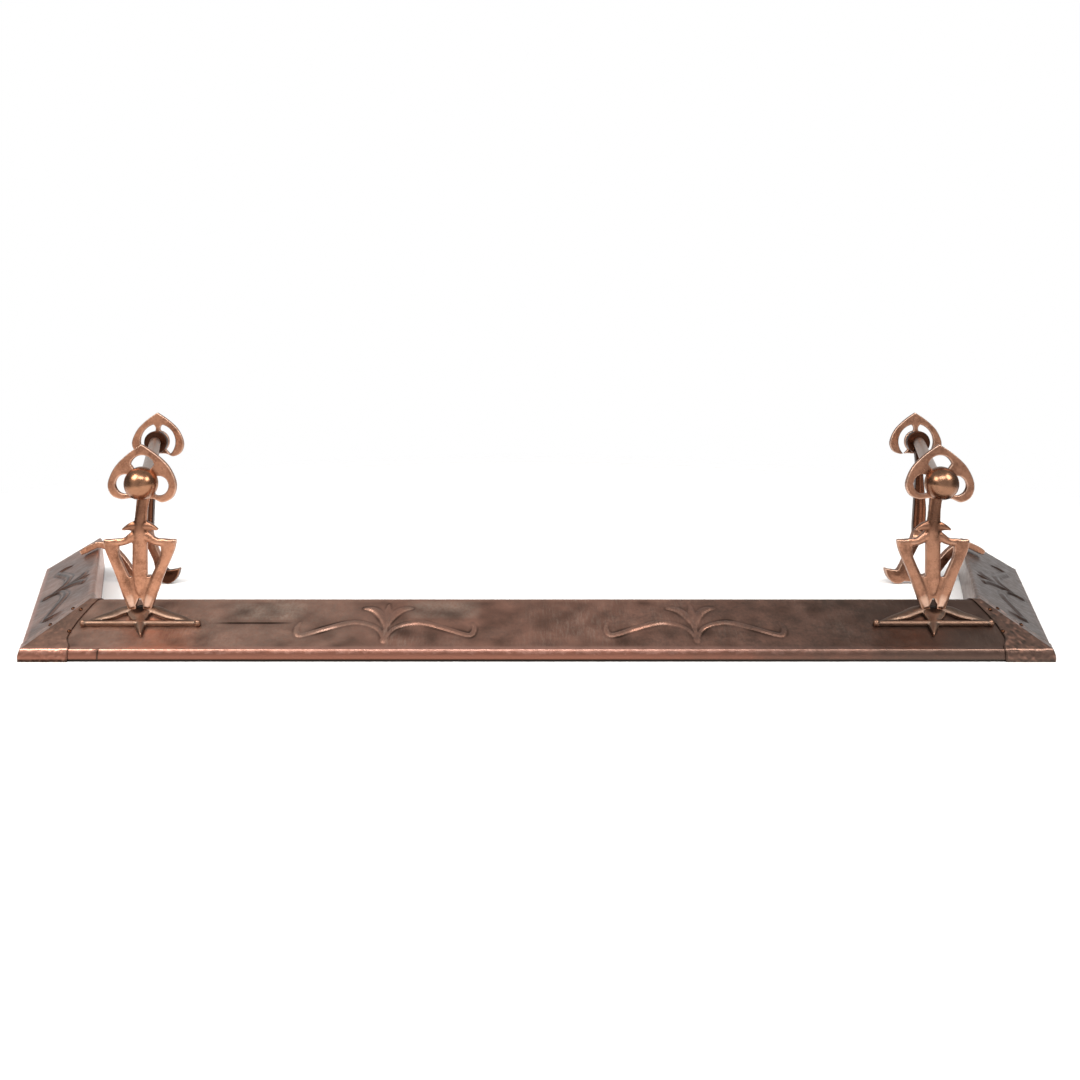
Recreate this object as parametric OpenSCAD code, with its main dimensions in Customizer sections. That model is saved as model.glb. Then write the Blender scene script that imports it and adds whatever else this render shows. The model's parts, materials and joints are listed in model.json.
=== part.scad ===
// Copper hearth fender. A low kerb of folded sheet lies on the hearth in three runs, and a
// pair of cast rests for the fire irons stands loose on it, one at each end.
// Millimetres, +Z up. X runs along the front and +Y to the back. The origin is on the floor,
// in the middle of the whole footprint.

/* [Kerb] */
// Length of the front at the floor, corner to corner
front_len = 1200; // [1140:10:1400]
// Length of each side along its outer edge
side_len = 396; // [390:2:430]
// Angle by which each side splays out from square
splay = 21; // [19:0.5:24]
// Angle of the rear ends, the ridge running further back than the lip
end_cut = 15; // [10:1:18]
// Height of the ridge above the floor
kerb_h = 51; // [50:0.5:53]
// Distance from the outer edge in to the top of the ridge
ridge_in = 76; // [75:0.5:80]
// Tilt of the top face
slope = 27.3; // [27:0.1:27.6]
// Height of the rounded lip along the outer edge
lip_h = 14; // [13:0.25:14.25]
// Thickness of the copper sheet
sheet_t = 1.2; // [0.9:0.1:1.6]
// Thickness of the flat iron underneath
base_t = 2.2; // [1.5:0.1:3]
// Width of the flanges that lie on the flat iron
flange_w = 9; // [6:0.5:12]

/* [Corner caps] */
// Length of a cap along the front lip
cap_front = 57; // [53:1:60]
// Length of a cap along the side lip
cap_side = 21; // [18:1:26]
// Thickness of a cap
cap_t = 1.1; // [0.8:0.1:1.5]
// Diameter of the cap rivets
rivet_d = 4.5; // [3.5:0.5:6]

/* [Raised pattern] */
// Height of the raised pattern above the sheet
relief_h = 1.8; // [1:0.1:2.5]
// Half the distance between the two front patterns
motif_x = 184; // [160:1:250]
// How far both front patterns stand to the right of the middle
motif_shift = 5; // [0:1:10]
// Half the length of a front pattern's whiplash line
motif_reach = 106; // [95:1:115]
// Half the length of a side pattern's whiplash line
side_reach = 124; // [100:1:130]

/* [Rests] */
// Distance of each rest's standard in from the kerb's front corner
rest_in = 118; // [114:0.5:128]
// Distance of each rest's rear leg out from the kerb's front corner
leg_out = 7.5; // [0:0.5:12]
// How much nearer the middle the left rest was put down
left_shift = 2.4; // [0:0.2:3]
// How far both front heads stand to the right of their standards
front_sway = 5.5; // [0:0.5:6]
// How far both rear heads stand to the right of their legs
rear_sway = 9; // [0:0.5:10]
// Distance of the front head behind the kerb's front edge
head_in = 46; // [44:0.5:48]
// Distance of the rear head behind the kerb's front edge
rear_in = 441; // [438:0.5:445]
// Height of the rail above the floor
rail_z = 199.5; // [196:0.5:206]
// Diameter of the rail
rail_d = 17; // [15:0.5:20]
// Diameter of the front ball
ball_d = 40.2; // [36:0.2:42]
// Thickness of the two heads
head_t = 6; // [5:0.5:8]
// Thickness of the front standard
standard_t = 8; // [7:0.5:10]
// Width of the standard's stem
stem_w = 17; // [15:0.5:19]
// Thickness of the star foot
foot_t = 4; // [3.5:0.5:6]
// Half the width of the star foot
foot_reach = 68.5; // [66:0.5:69.5]

/* [Rear legs] */
// Distance of the legs behind the kerb's front edge
leg_in = 341; // [336:1:346]
// Height of the knee, above which a leg rakes back to its stud
knee_z = 72; // [68:1:76]
// Thickness of the leg
leg_t = 11; // [9:0.5:12]
// Diameter of the leg's eye
eye_d = 36; // [32:1:38]

/* [Fixings] */
// Diameter of the studs that clamp heads and rail
stud_d = 6; // [5:0.5:7]
// Depth of a stud in the end of the rail
stud_bite = 10; // [6:0.5:12]
// Diameter of the domed nut at the back
nut_d = 16; // [13:0.5:20]
// Diameter of the two screws through the star foot
screw_d = 4; // [3:0.5:4.5]

/* [Hidden] */

$fn = 48;

// Clearances: between loose pieces, between fixed pieces, and around a stud or screw
seat_gap = 0.3;
fit_gap = 0.15;
bore_gap = 0.3;

// Kerb section, measured in from the outer edge and up from the floor
lip_r = 19.4;
lip_c = [lip_r, 4.2];
crease_in = 4.2;
ridge_r = 3.5;
ridge_c = [ridge_in, kerb_h - ridge_r];
foot_in = ridge_in + 8;
kerb_lean = atan2(foot_in - ridge_in - ridge_r, kerb_h);
ridge_touch = ridge_c + ridge_r * [-sin(slope), cos(slope)];
mitre = (90 + splay) / 2;
far = 1000;

// Places of the rests, from the middle of the front
rest_x = front_len / 2 - rest_in;
rear_x = front_len / 2 + leg_out;

// Everything is drawn from the kerb's front edge and then centred front to back
copper = [0.55, 0.36, 0.28];
cast_copper = [0.76, 0.47, 0.31];
bright_copper = [0.80, 0.60, 0.36];
iron = [0.22, 0.21, 0.21];
steel = [0.62, 0.60, 0.58];
cap_out = fit_gap + cap_t;
nut_h = 8;
head_back = rear_in + head_t;
depth_mid = (head_back + nut_h - cap_out) / 2;

// Stack on the front stud, front to back
standard_y = head_in + head_t;
rail_front = standard_y + standard_t;
// Stack on the rear stud: the rail, the leg's eye and the head
eye_t = 11;
eye_y = rear_in - seat_gap - eye_t;
rail_back = eye_y - seat_gap;

// Star foot: its bar lies this far in from the edge, and its top face carries the standard
bar_in = 37.5;
foot_lift = seat_gap + foot_t;
standard_v = (standard_y + standard_t / 2 - bar_in) / cos(slope);
star_lean = 0.35;

// Height of the top face above the floor, at a distance in from the edge
function face_z(u) = ridge_touch.y - (ridge_touch.x - u) * tan(slope);

function arc(c, r, a, b, n) = [for (i = [0:n]) c + r * [cos(a + (b - a) * i / n), sin(a + (b - a) * i / n)]];

// Outline of the kerb's section, grown outward by g and standing on the height z
function section(g, z) = let (
    lip = lip_r + g,
    low = 180 - asin((z - lip_c.y) / lip),
    high = 180 - asin((lip_h - lip_c.y) / lip_r),
    side = ridge_c + (ridge_r + g) * [cos(kerb_lean), sin(kerb_lean)]
) concat(
    arc(lip_c, lip, low, high, 6),
    [[crease_in - g * sin(slope), face_z(crease_in) + g * cos(slope)]],
    arc(ridge_c, ridge_r + g, 90 + slope, kerb_lean, 6),
    [[side.x + (side.y - z) * tan(kerb_lean), z]]
);

// A smooth curve through points of [x, y, width]
function spline_at(p, i, t) = let (
    a = p[max(i - 1, 0)],
    b = p[i],
    c = p[i + 1],
    d = p[min(i + 2, len(p) - 1)]
) 0.5 * (2 * b + t * (c - a) + t * t * (2 * a - 5 * b + 4 * c - d) + t * t * t * (3 * b - a - 3 * c + d));

function spline(p, steps) = concat(
    [for (i = [0:len(p) - 2], k = [0:steps - 1]) spline_at(p, i, k / steps)],
    [p[len(p) - 1]]
);

function side_step(c, i) = let (
    a = c[max(i - 1, 0)],
    b = c[min(i + 1, len(c) - 1)],
    d = [b.x - a.x, b.y - a.y]
) c[i].z / 2 * [-d.y, d.x] / norm(d);

// A band that swells and thins along a smooth curve
module stroke(p, steps = 5) {
    c = spline(p, steps);
    last = len(c) - 1;
    polygon(concat(
        [for (i = [0:last]) [c[i].x, c[i].y] + side_step(c, i)],
        [for (i = [last:-1:0]) [c[i].x, c[i].y] - side_step(c, i)]
    ));
}

module both_ways() {
    children();
    mirror([1, 0]) children();
}

module left_side() translate([-front_len / 2, -depth_mid, 0]) children();

module right_side() mirror([1, 0, 0]) left_side() children();

module centred() translate([0, -depth_mid, 0]) children();

// ---- kerb ----

// A straight run of a section: it starts at the corner and goes along +X
module run_front(length) rotate([90, 0, 90]) linear_extrude(length) children();

// The same for a side: from the corner back along the splayed edge
module run_side(length) rotate([0, 0, splay - 90]) translate([-length, 0, 0]) rotate([90, 0, 90])
    linear_extrude(length) children();

// Plan area on the front's side of the left mitre, and on the side's
module front_of_mitre(g) linear_extrude(far, center = true)
    polygon([[g - far / tan(mitre), -far], [g + far / tan(mitre), far], [far, far], [far, -far]]);

module side_of_mitre(g) rotate([0, 0, splay - 90]) linear_extrude(far, center = true)
    polygon([[far / tan(mitre) - g, -far], [-far / tan(mitre) - g, far], [-far, far], [-far, -far]]);

module sheet_section() difference() {
    polygon(section(0, base_t));
    polygon(section(-sheet_t, base_t + sheet_t));
    translate([flange_w, 0]) square([foot_in - 2 * flange_w, kerb_h / 4]);
}

module on_front_face(x, u) translate([x, u, face_z(u)]) rotate([slope, 0, 0]) children();

module on_side_face(x, u) rotate([0, 0, splay - 90]) on_front_face(-x, u) children();

// Tulip with a whiplash line to each side, centred along the kerb
module tulip_relief(reach) {
    up = (ridge_in - crease_in) / cos(slope);
    linear_extrude(relief_h + sheet_t / 2) {
        stroke([[0, 0.12 * up, 3], [0, 0.17 * up, 8], [0, 0.26 * up, 5], [0, 0.54 * up, 4.5]], 4);
        stroke([[0, 0.56 * up, 3], [0, 0.7 * up, 7], [0, 0.85 * up, 1.5]], 3);
        both_ways() {
            stroke([[0.5, 0.4 * up, 3.5], [2.5, 0.51 * up, 5], [6.5, 0.63 * up, 6],
                [13, 0.725 * up, 6], [20, 0.77 * up, 4.5], [29, 0.78 * up, 1.5]], 3);
            stroke([[1, 0.2 * up, 4], [6, 0.33 * up, 4.5], [14, 0.43 * up, 5],
                [reach * 0.28, 0.5 * up, 6], [reach * 0.43, 0.5 * up, 7],
                [reach * 0.67, 0.39 * up, 6.5], [reach * 0.9, 0.27 * up, 5],
                [reach - 3, 0.27 * up, 4.5], [reach, 0.38 * up, 3.5],
                [reach - 5, 0.5 * up, 1.5]], 4);
        }
    }
}

module front_kerb_sheet() color(copper) {
    left_side() intersection() {
        run_front(front_len / 2) sheet_section();
        front_of_mitre(fit_gap);
    }
    right_side() intersection() {
        run_front(front_len / 2) sheet_section();
        front_of_mitre(fit_gap);
    }
    for (s = [-1, 1]) centred() on_front_face(s * motif_x + motif_shift, crease_in)
        translate([0, 0, -sheet_t / 2]) tulip_relief(motif_reach);
}

// Plan area in front of a side's slanting rear end, set back by g along the side
module before_end(g) rotate([0, 0, splay - 90]) linear_extrude(far, center = true) polygon([
    [g - side_len + far * tan(end_cut), -far], [g - side_len - far * tan(end_cut), far], [far, far],
    [far, -far]
]);

side_run = side_len + foot_in * tan(end_cut);

module side_sheet() {
    intersection() {
        run_side(side_run) sheet_section();
        side_of_mitre(fit_gap);
        before_end(0);
    }
    on_side_face(side_len / 2, crease_in) translate([0, 0, -sheet_t / 2]) tulip_relief(side_reach);
}

module left_kerb_sheet() color(copper) left_side() side_sheet();

module right_kerb_sheet() color(copper) right_side() side_sheet();

// Corner cap: the section again, just outside the sheets, kept inside its own plan outline
module cap_section() difference() {
    polygon(section(cap_out, 0));
    polygon(section(fit_gap, -1));
}

// A plan point at a distance along the front, or along the side, and in from the edge
function front_at(x, u) = [x, u];
function side_at(x, u) = [u * cos(splay) - x * sin(splay), u * sin(splay) + x * cos(splay)];

module cap_plan() linear_extrude(3 * kerb_h, center = true) polygon([
    front_at(cap_front, -9), front_at(cap_front - 1, 7), front_at(cap_front - 8, 0.24 * ridge_in),
    front_at(cap_front - 7, ridge_in / 2), front_at(cap_front + 6, ridge_in), front_at(far, far),
    side_at(cap_side + 62, ridge_in + 12), side_at(cap_side + 54, ridge_in), side_at(cap_side, 3),
    side_at(cap_side, -9), [-far, -far]
]);

module corner_cap() intersection() {
    union() {
        intersection() {
            translate([-ridge_in, 0, 0]) run_front(3 * ridge_in) cap_section();
            front_of_mitre(-fit_gap);
        }
        intersection() {
            translate([ridge_in * sin(splay), -ridge_in * cos(splay), 0]) run_side(3 * ridge_in)
                cap_section();
            side_of_mitre(-fit_gap);
        }
    }
    cap_plan();
}

module left_corner_cap() color(copper) left_side() corner_cap();

module right_corner_cap() color(copper) right_side() corner_cap();

// Low domed rivets on the cap: two by the front seam, two by the side seam
module cap_rivet() translate([0, 0, cap_out]) {
    cylinder(d = rivet_d, h = 0.6);
    translate([0, 0, 0.6]) intersection() {
        translate([0, 0, -rivet_d / 3]) sphere(r = rivet_d / 1.66);
        cylinder(d = rivet_d, h = rivet_d);
    }
}

module corner_rivets() {
    for (u = [0.36, 0.78]) on_front_face(cap_front - 10, ridge_in * u) cap_rivet();
    on_side_face(cap_side + 14, ridge_in * 0.42) cap_rivet();
    on_side_face(cap_side + 30, ridge_in * 0.74) cap_rivet();
}

module left_corner_rivets() color(bright_copper) left_side() corner_rivets();

module right_corner_rivets() color(bright_copper) right_side() corner_rivets();

// Flat iron under the sheets
base_edge = 1;
base_w = foot_in - 2 * base_edge;

module base_section() translate([base_edge, 0]) square([base_w, base_t]);

module front_base_plate() color(iron) {
    left_side() intersection() {
        run_front(front_len / 2) base_section();
        front_of_mitre(fit_gap);
    }
    right_side() intersection() {
        run_front(front_len / 2) base_section();
        front_of_mitre(fit_gap);
    }
}

module side_base() intersection() {
    run_side(side_run) base_section();
    side_of_mitre(fit_gap);
    before_end(0);
}

module left_base_plate() color(iron) left_side() side_base();

module right_base_plate() color(iron) right_side() side_base();

// Gusset inside the corner, lying on both base plates between the flanges
gusset_reach = 150;
gusset_t = 2.5;
gusset_in = flange_w + 3;
gusset_out = foot_in - flange_w - 3;
gusset_holes = [0.62, 0.9];

module at_gusset_rivets() {
    u = (gusset_in + gusset_out) / 2;
    for (k = gusset_holes) {
        translate([gusset_reach * k, u, base_t]) children();
        rotate([0, 0, splay - 90]) translate([-gusset_reach * k, u, base_t]) children();
    }
}

module corner_gusset() difference() {
    translate([0, 0, base_t]) linear_extrude(gusset_t) polygon([
        front_at(gusset_in / tan(mitre), gusset_in), front_at(gusset_reach, gusset_in),
        front_at(gusset_reach, gusset_out), front_at(gusset_out / tan(mitre), gusset_out),
        side_at(gusset_reach, gusset_out), side_at(gusset_reach, gusset_in)
    ]);
    at_gusset_rivets() translate([0, 0, -1]) cylinder(d = rivet_d + fit_gap, h = gusset_t + 2);
}

module left_corner_gusset() color(iron) left_side() corner_gusset();

module right_corner_gusset() color(iron) right_side() corner_gusset();

module gusset_rivets() at_gusset_rivets() {
    cylinder(d = rivet_d, h = gusset_t);
    translate([0, 0, gusset_t]) cylinder(d = 1.8 * rivet_d, h = 1.6);
}

module left_gusset_rivets() color(steel) left_side() gusset_rivets();

module right_gusset_rivets() color(steel) right_side() gusset_rivets();

// Plate closing the rear end of a side, just inside the sheet
module end_plate() intersection() {
    run_side(side_run) polygon(section(-sheet_t - fit_gap, base_t + sheet_t));
    difference() {
        before_end(0);
        before_end(sheet_t);
    }
}

module left_end_plate() color(copper) left_side() end_plate();

module right_end_plate() color(copper) right_side() end_plate();

// ---- rests ----

// Each rest is drawn at its standard, from the kerb's front edge back, with +X to the middle.
// Its side is 1 on the left and -1 on the right, where the drawing is mirrored. The heads of
// both stand a little to the right of their feet, so a sway changes sign with the side.
module at_rest() translate([-rest_x, -depth_mid, 0]) children();

module at_left() translate([left_shift, 0, 0]) at_rest() children();

module at_right() mirror([1, 0, 0]) at_rest() children();

module at_front_hub(side) translate([side * front_sway, 0, rail_z]) children();

module at_rear_hub(side) translate([rest_x - rear_x + side * rear_sway, 0, rail_z]) children();

// Along the kerb's top face, with the origin on the bar of the star foot
module on_face() translate([0, bar_in, face_z(bar_in)]) rotate([slope, 0, 0]) children();

// The star leans so that its tongue points inward from the standard that it carries
function lean(p) = [for (q = p) [q.x + star_lean * (standard_v - q.y), q.y, q.z]];
function flip(p) = [for (q = p) [-q.x, q.y, q.z]];

bar_x = star_lean * standard_v;
knob_d = 7.5;

module star_plan() {
    translate([bar_x, 0]) stroke([[-foot_reach, 0, 5], [0, 0, 6], [foot_reach, 0, 5]], 1);
    stroke(lean([[0, standard_v + 8, 26], [0, standard_v - 4, 27], [0, 3, 13], [0, -4, 12], [0, -11, 7],
        [0, -20, 1.5]]));
    strut = [[foot_reach - 6, 1, 5], [48, 7.5, 9], [34, 13, 12], [22, 20, 13], [10, standard_v + 3, 11]];
    stroke(lean(strut));
    stroke(lean(flip(strut)));
}

// The screws are set back, so that they stay inside the standard although they lean forward
screw_u = 9.5;
screw_v = standard_v + 4;
screw_grip = 4;

module at_foot_screws() for (s = [-1, 1]) translate([s * screw_u, screw_v, 0]) children();

module star_foot() on_face() difference() {
    translate([0, 0, seat_gap]) {
        linear_extrude(foot_t) star_plan();
        for (s = [-1, 1]) translate([bar_x + s * foot_reach, 0, 0]) cylinder(d = knob_d, h = foot_t);
    }
    at_foot_screws() cylinder(d = screw_d + bore_gap, h = 3 * foot_t, center = true);
    at_foot_screws() cylinder(d = screw_d + bore_gap + 2, h = seat_gap + foot_t / 3);
}

module foot_screws() on_face() at_foot_screws() {
    translate([0, 0, seat_gap]) cylinder(d = screw_d + 2, h = foot_t / 3);
    translate([0, 0, seat_gap]) cylinder(d = screw_d, h = foot_t + screw_grip);
}

// Front standard, in the plane of the kerb's front: stem, two arms, links and collar leaves
collar_z = 145;
arm_top = 130;
arm_out = 35;
root_z = 84;

module standard_outline(side) {
    stroke([[side * front_sway, rail_z, stem_w - 3], [side * front_sway / 3, collar_z + 18, stem_w - 3],
        [0, arm_top, stem_w], [0, root_z, stem_w + 1]], 4);
    difference() {
        polygon([[-10, 40], [-14, 64], [-21, root_z], [21, root_z], [14, 64], [10, 40]]);
        polygon([[-5.5, 30], [-4.5, 50], [0, 60], [4.5, 50], [5.5, 30]]);
    }
    both_ways() {
        stroke([[8.5, 44, 10], [13, 62, 14], [19, 79, 14], [26, 96, 13], [31, 108, 13.5],
            [34, 120, 17], [arm_out, arm_top, 18.5]]);
        stroke([[arm_out + 8, arm_top - 4, 8], [30, arm_top - 4.5, 9], [18, arm_top - 2.5, 9],
            [7, arm_top + 4, 12], [0, arm_top + 6, 13]]);
        stroke([[4, collar_z + 1, 14], [12, collar_z, 9], [21.5, collar_z - 3.5, 1.5]]);
    }
}

module front_standard(side) difference() {
    union() {
        translate([0, standard_y + standard_t, 0]) rotate([90, 0, 0]) linear_extrude(standard_t)
            standard_outline(side);
        at_front_hub(side) translate([0, standard_y, 0]) rotate([-90, 0, 0])
            cylinder(d = rail_d + 8, h = standard_t);
    }
    on_face() translate([-far / 2, -far / 2, foot_lift - far]) cube(far);
    at_front_hub(side) rotate([90, 0, 0]) cylinder(d = stud_d + bore_gap, h = far, center = true);
    on_face() at_foot_screws() cylinder(d = screw_d + bore_gap, h = foot_lift + screw_grip + bore_gap);
}

// Openwork head, drawn round the hub: a spade with its point up
head_top = 46.5;
hub_d = 36;

module spade_outline() polygon([for (p = concat(
    spline([[-1, head_top, 0], [16, 35, 0], [32, 19.5, 0], [41, -1, 0], [37.2, -17, 0], [25, -23.5, 0],
        [14, -19.5, 0], [4, -19, 0]], 5),
    spline([[-6, -19, 0], [-15, -18.5, 0], [-25.5, -19.5, 0], [-37, -14.5, 0], [-41.5, -1, 0],
        [-33.5, 18.5, 0], [-18.5, 34, 0], [-1, head_top, 0]], 5)
)) [p.x, p.y]]);

module front_head_outline() difference() {
    spade_outline();
    difference() {
        union() {
            translate([20, -3.5]) circle(r = 11.8);
            translate([-20.5, -1.5]) circle(r = 11.8);
            intersection() {
                translate([0, 18.3]) circle(r = 15);
                translate([-far / 2, 22]) square(far);
            }
            polygon([[-14, 22], [14, 22], [8, 14], [-8, 14]]);
        }
        circle(d = hub_d - 1);
    }
}

module rear_head_outline() difference() {
    spade_outline();
    difference() {
        circle(r = 28);
        circle(d = hub_d);
        polygon([[0, 0], [-far, -far], [far, -far]]);
        stroke([[0, 12, 9], [0, 21, 6.5], [0, 26, 11], [0, 32, 24]], 4);
    }
}

// The heads are one casting, so the right rest's are turned back from their mirror image
module head_plate(side) rotate([90, 0, 0]) difference() {
    linear_extrude(head_t) scale([side, 1]) children();
    translate([0, 0, -1]) cylinder(d = stud_d + bore_gap, h = head_t + 2);
}

module front_head(side) at_front_hub(side) translate([0, standard_y, 0]) head_plate(side)
    front_head_outline();

module rear_head(side) at_rear_hub(side) translate([0, head_back, 0]) head_plate(side)
    rear_head_outline();

// Ball: cut flat where it sits on the head, with a blind hole for the stud
ball_set = 1;
ball_y = head_in - ball_set;
stud_head = ball_d / 4;

module front_ball(side) at_front_hub(side) difference() {
    translate([0, ball_y, 0]) rotate([90, 0, 0]) sphere(d = ball_d, $fn = 64);
    translate([-ball_d, head_in, -ball_d]) cube(2 * ball_d);
    translate([0, ball_y - stud_head, 0]) rotate([-90, 0, 0])
        cylinder(d = stud_d + bore_gap, h = ball_d);
}

module front_stud(side) at_front_hub(side) translate([0, ball_y - stud_head + bore_gap, 0])
    rotate([-90, 0, 0])
    cylinder(d = stud_d, h = rail_front + stud_bite - ball_y + stud_head - 2 * bore_gap);

// Rail: a round bar that runs out to the rear head, its ends cut parallel to the heads
module rail(side) {
    run = rear_x - rest_x + side * (front_sway - rear_sway);
    at_front_hub(side) difference() {
        translate([0, rail_front, 0]) rotate([0, 0, atan2(run, rail_back - rail_front)])
            rotate([-90, 0, 0]) translate([0, 0, -rail_d]) cylinder(d = rail_d, h = 2 * rear_in);
        translate([-far, rail_front - far, -rail_d]) cube([2 * far, far, far]);
        translate([-far, rail_back, -rail_d]) cube([2 * far, 2 * far, far]);
        translate([0, rail_front - 1, 0]) rotate([-90, 0, 0])
            cylinder(d = stud_d + bore_gap, h = stud_bite + 1);
        translate([-run, rail_back + 1, 0]) rotate([90, 0, 0])
            cylinder(d = stud_d + bore_gap, h = stud_bite + 1);
    }
}

// Rear leg: an eye on the stud, a stem that rakes forward to the knee, and an upright foot.
// The foot's inner branch ends in a leaf on the hearth, and the outer one curls over the kerb.
leaf_z = 12;
finger_z = kerb_h + 5.7;
eye_mid = eye_y + eye_t / 2;
leg_rake = atan2(eye_mid - leg_in, rail_z - knee_z);

// Points of true height, swayed above the knee, and stretched for a plane that rakes
function swayed(p, side, rake) = [for (q = p)
    [q.x + side * rear_sway * max(0, q.y - knee_z) / (rail_z - knee_z), (q.y - knee_z) / cos(rake), q.z]];

module leg_stem(side) stroke(swayed([[1, 194, 14], [4.5, 176, 9], [9.5, 150, 11.5], [14.5, 127, 15],
    [19, 106, 18], [25.5, 84, 18], [31, 66, 15]], side, leg_rake));

module leg_foot(side) {
    stroke(swayed([[28, 80, 16], [33, 66, 14.5], [40, 50, 12], [46, 36, 12], [50, 24, 15],
        [55, leaf_z + 1, 18.5], [63, leaf_z - 1, 20], [72, leaf_z + 4, 13], [79, leaf_z + 11, 1.5]],
        side, 0));
    stroke(swayed([[56, 9, 8], [40, 8, 9], [24, 8, 9.5], [12, 11, 10.5], [3, 20, 12], [-6, 32, 12.5],
        [-15, 43, 12], [-25, finger_z - 4, 10.5], [-36, finger_z + 1.3, 9], [-44, finger_z + 1.5, 9],
        [-53, finger_z - 2, 9.5], [-61, finger_z - 6, 9.5], [-69, finger_z - 10.5, 7]], side, 0));
}

module rear_leg(side) translate([rest_x - rear_x, 0, 0]) difference() {
    union() {
        translate([side * rear_sway, eye_y, rail_z]) rotate([-90, 0, 0])
            cylinder(d = eye_d, h = eye_t);
        translate([0, leg_in, knee_z]) {
            rotate([90 - leg_rake, 0, 0]) linear_extrude(leg_t, center = true) leg_stem(side);
            rotate([90, 0, 0]) linear_extrude(leg_t, center = true) leg_foot(side);
        }
    }
    translate([side * rear_sway, 0, rail_z]) rotate([-90, 0, 0])
        cylinder(d = stud_d + 2 * bore_gap, h = far);
    translate([-far, 0, seat_gap - far]) cube([2 * far, far, far]);
    translate([-far, eye_y + eye_t, 0]) cube([2 * far, far, far]);
    translate([-eye_d, eye_y - far, rail_z - rail_d / 2 - 1]) cube([2 * eye_d, far, far]);
}

rear_stud_start = rail_back - stud_bite + bore_gap;
nut_wall = 3;

module rear_stud(side) at_rear_hub(side) translate([0, rear_stud_start, 0]) rotate([-90, 0, 0])
    cylinder(d = stud_d, h = head_back + nut_h - nut_wall - bore_gap - rear_stud_start);

module rear_nut(side) at_rear_hub(side) translate([0, head_back, 0]) rotate([-90, 0, 0]) difference() {
    union() {
        cylinder(d = nut_d, h = 3);
        intersection() {
            translate([0, 0, nut_h - nut_d * 0.6]) sphere(d = nut_d * 1.2);
            translate([0, 0, 1]) cylinder(d = nut_d - 2, h = nut_h);
        }
    }
    translate([0, 0, -1]) cylinder(d = stud_d + bore_gap, h = nut_h - nut_wall + 1);
}

module left_star_foot() color(cast_copper) at_left() star_foot();

module right_star_foot() color(cast_copper) at_right() star_foot();

module left_foot_screws() color(steel) at_left() foot_screws();

module right_foot_screws() color(steel) at_right() foot_screws();

module left_front_standard() color(cast_copper) at_left() front_standard(1);

module right_front_standard() color(cast_copper) at_right() front_standard(-1);

module left_front_head() color(cast_copper) at_left() front_head(1);

module right_front_head() color(cast_copper) at_right() front_head(-1);

module left_front_ball() color(bright_copper) at_left() front_ball(1);

module right_front_ball() color(bright_copper) at_right() front_ball(-1);

module left_front_stud() color(steel) at_left() front_stud(1);

module right_front_stud() color(steel) at_right() front_stud(-1);

module left_rail() color(steel) at_left() rail(1);

module right_rail() color(steel) at_right() rail(-1);

module left_rear_leg() color(cast_copper) at_left() rear_leg(1);

module right_rear_leg() color(cast_copper) at_right() rear_leg(-1);

module left_rear_head() color(cast_copper) at_left() rear_head(1);

module right_rear_head() color(cast_copper) at_right() rear_head(-1);

module left_rear_stud() color(steel) at_left() rear_stud(1);

module right_rear_stud() color(steel) at_right() rear_stud(-1);

module left_rear_nut() color(bright_copper) at_left() rear_nut(1);

module right_rear_nut() color(bright_copper) at_right() rear_nut(-1);

front_kerb_sheet();
left_kerb_sheet();
right_kerb_sheet();
left_corner_cap();
right_corner_cap();
left_corner_rivets();
right_corner_rivets();
front_base_plate();
left_base_plate();
right_base_plate();
left_corner_gusset();
right_corner_gusset();
left_gusset_rivets();
right_gusset_rivets();
left_end_plate();
right_end_plate();
left_star_foot();
left_foot_screws();
left_front_standard();
left_front_head();
left_front_ball();
left_front_stud();
left_rail();
left_rear_leg();
left_rear_head();
left_rear_stud();
left_rear_nut();
right_star_foot();
right_foot_screws();
right_front_standard();
right_front_head();
right_front_ball();
right_front_stud();
right_rail();
right_rear_leg();
right_rear_head();
right_rear_stud();
right_rear_nut();
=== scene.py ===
"""Looks of a copper hearth fender.

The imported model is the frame. This script renews what shows at a glance: the three folded
kerb sheets with their beaten-out tulips and whiplash lines, the hammered corner caps, and the
cast standards, heads, star feet and rear legs of the two fire iron rests. The rails, plates,
rivets, screws, studs and nuts stay as the frame has them and are given their metals here.

Lengths are in metres and angles in radians unless a name says otherwise. X runs along the
front, +Y to the back and +Z up. Drawings are made from the kerb's front edge.
"""

import json
import logging
import math
from dataclasses import dataclass, field
from enum import Enum
from typing import Callable, Sequence

import bmesh
import bpy
import numpy as np
from mathutils import Matrix, Vector, noise


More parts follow.
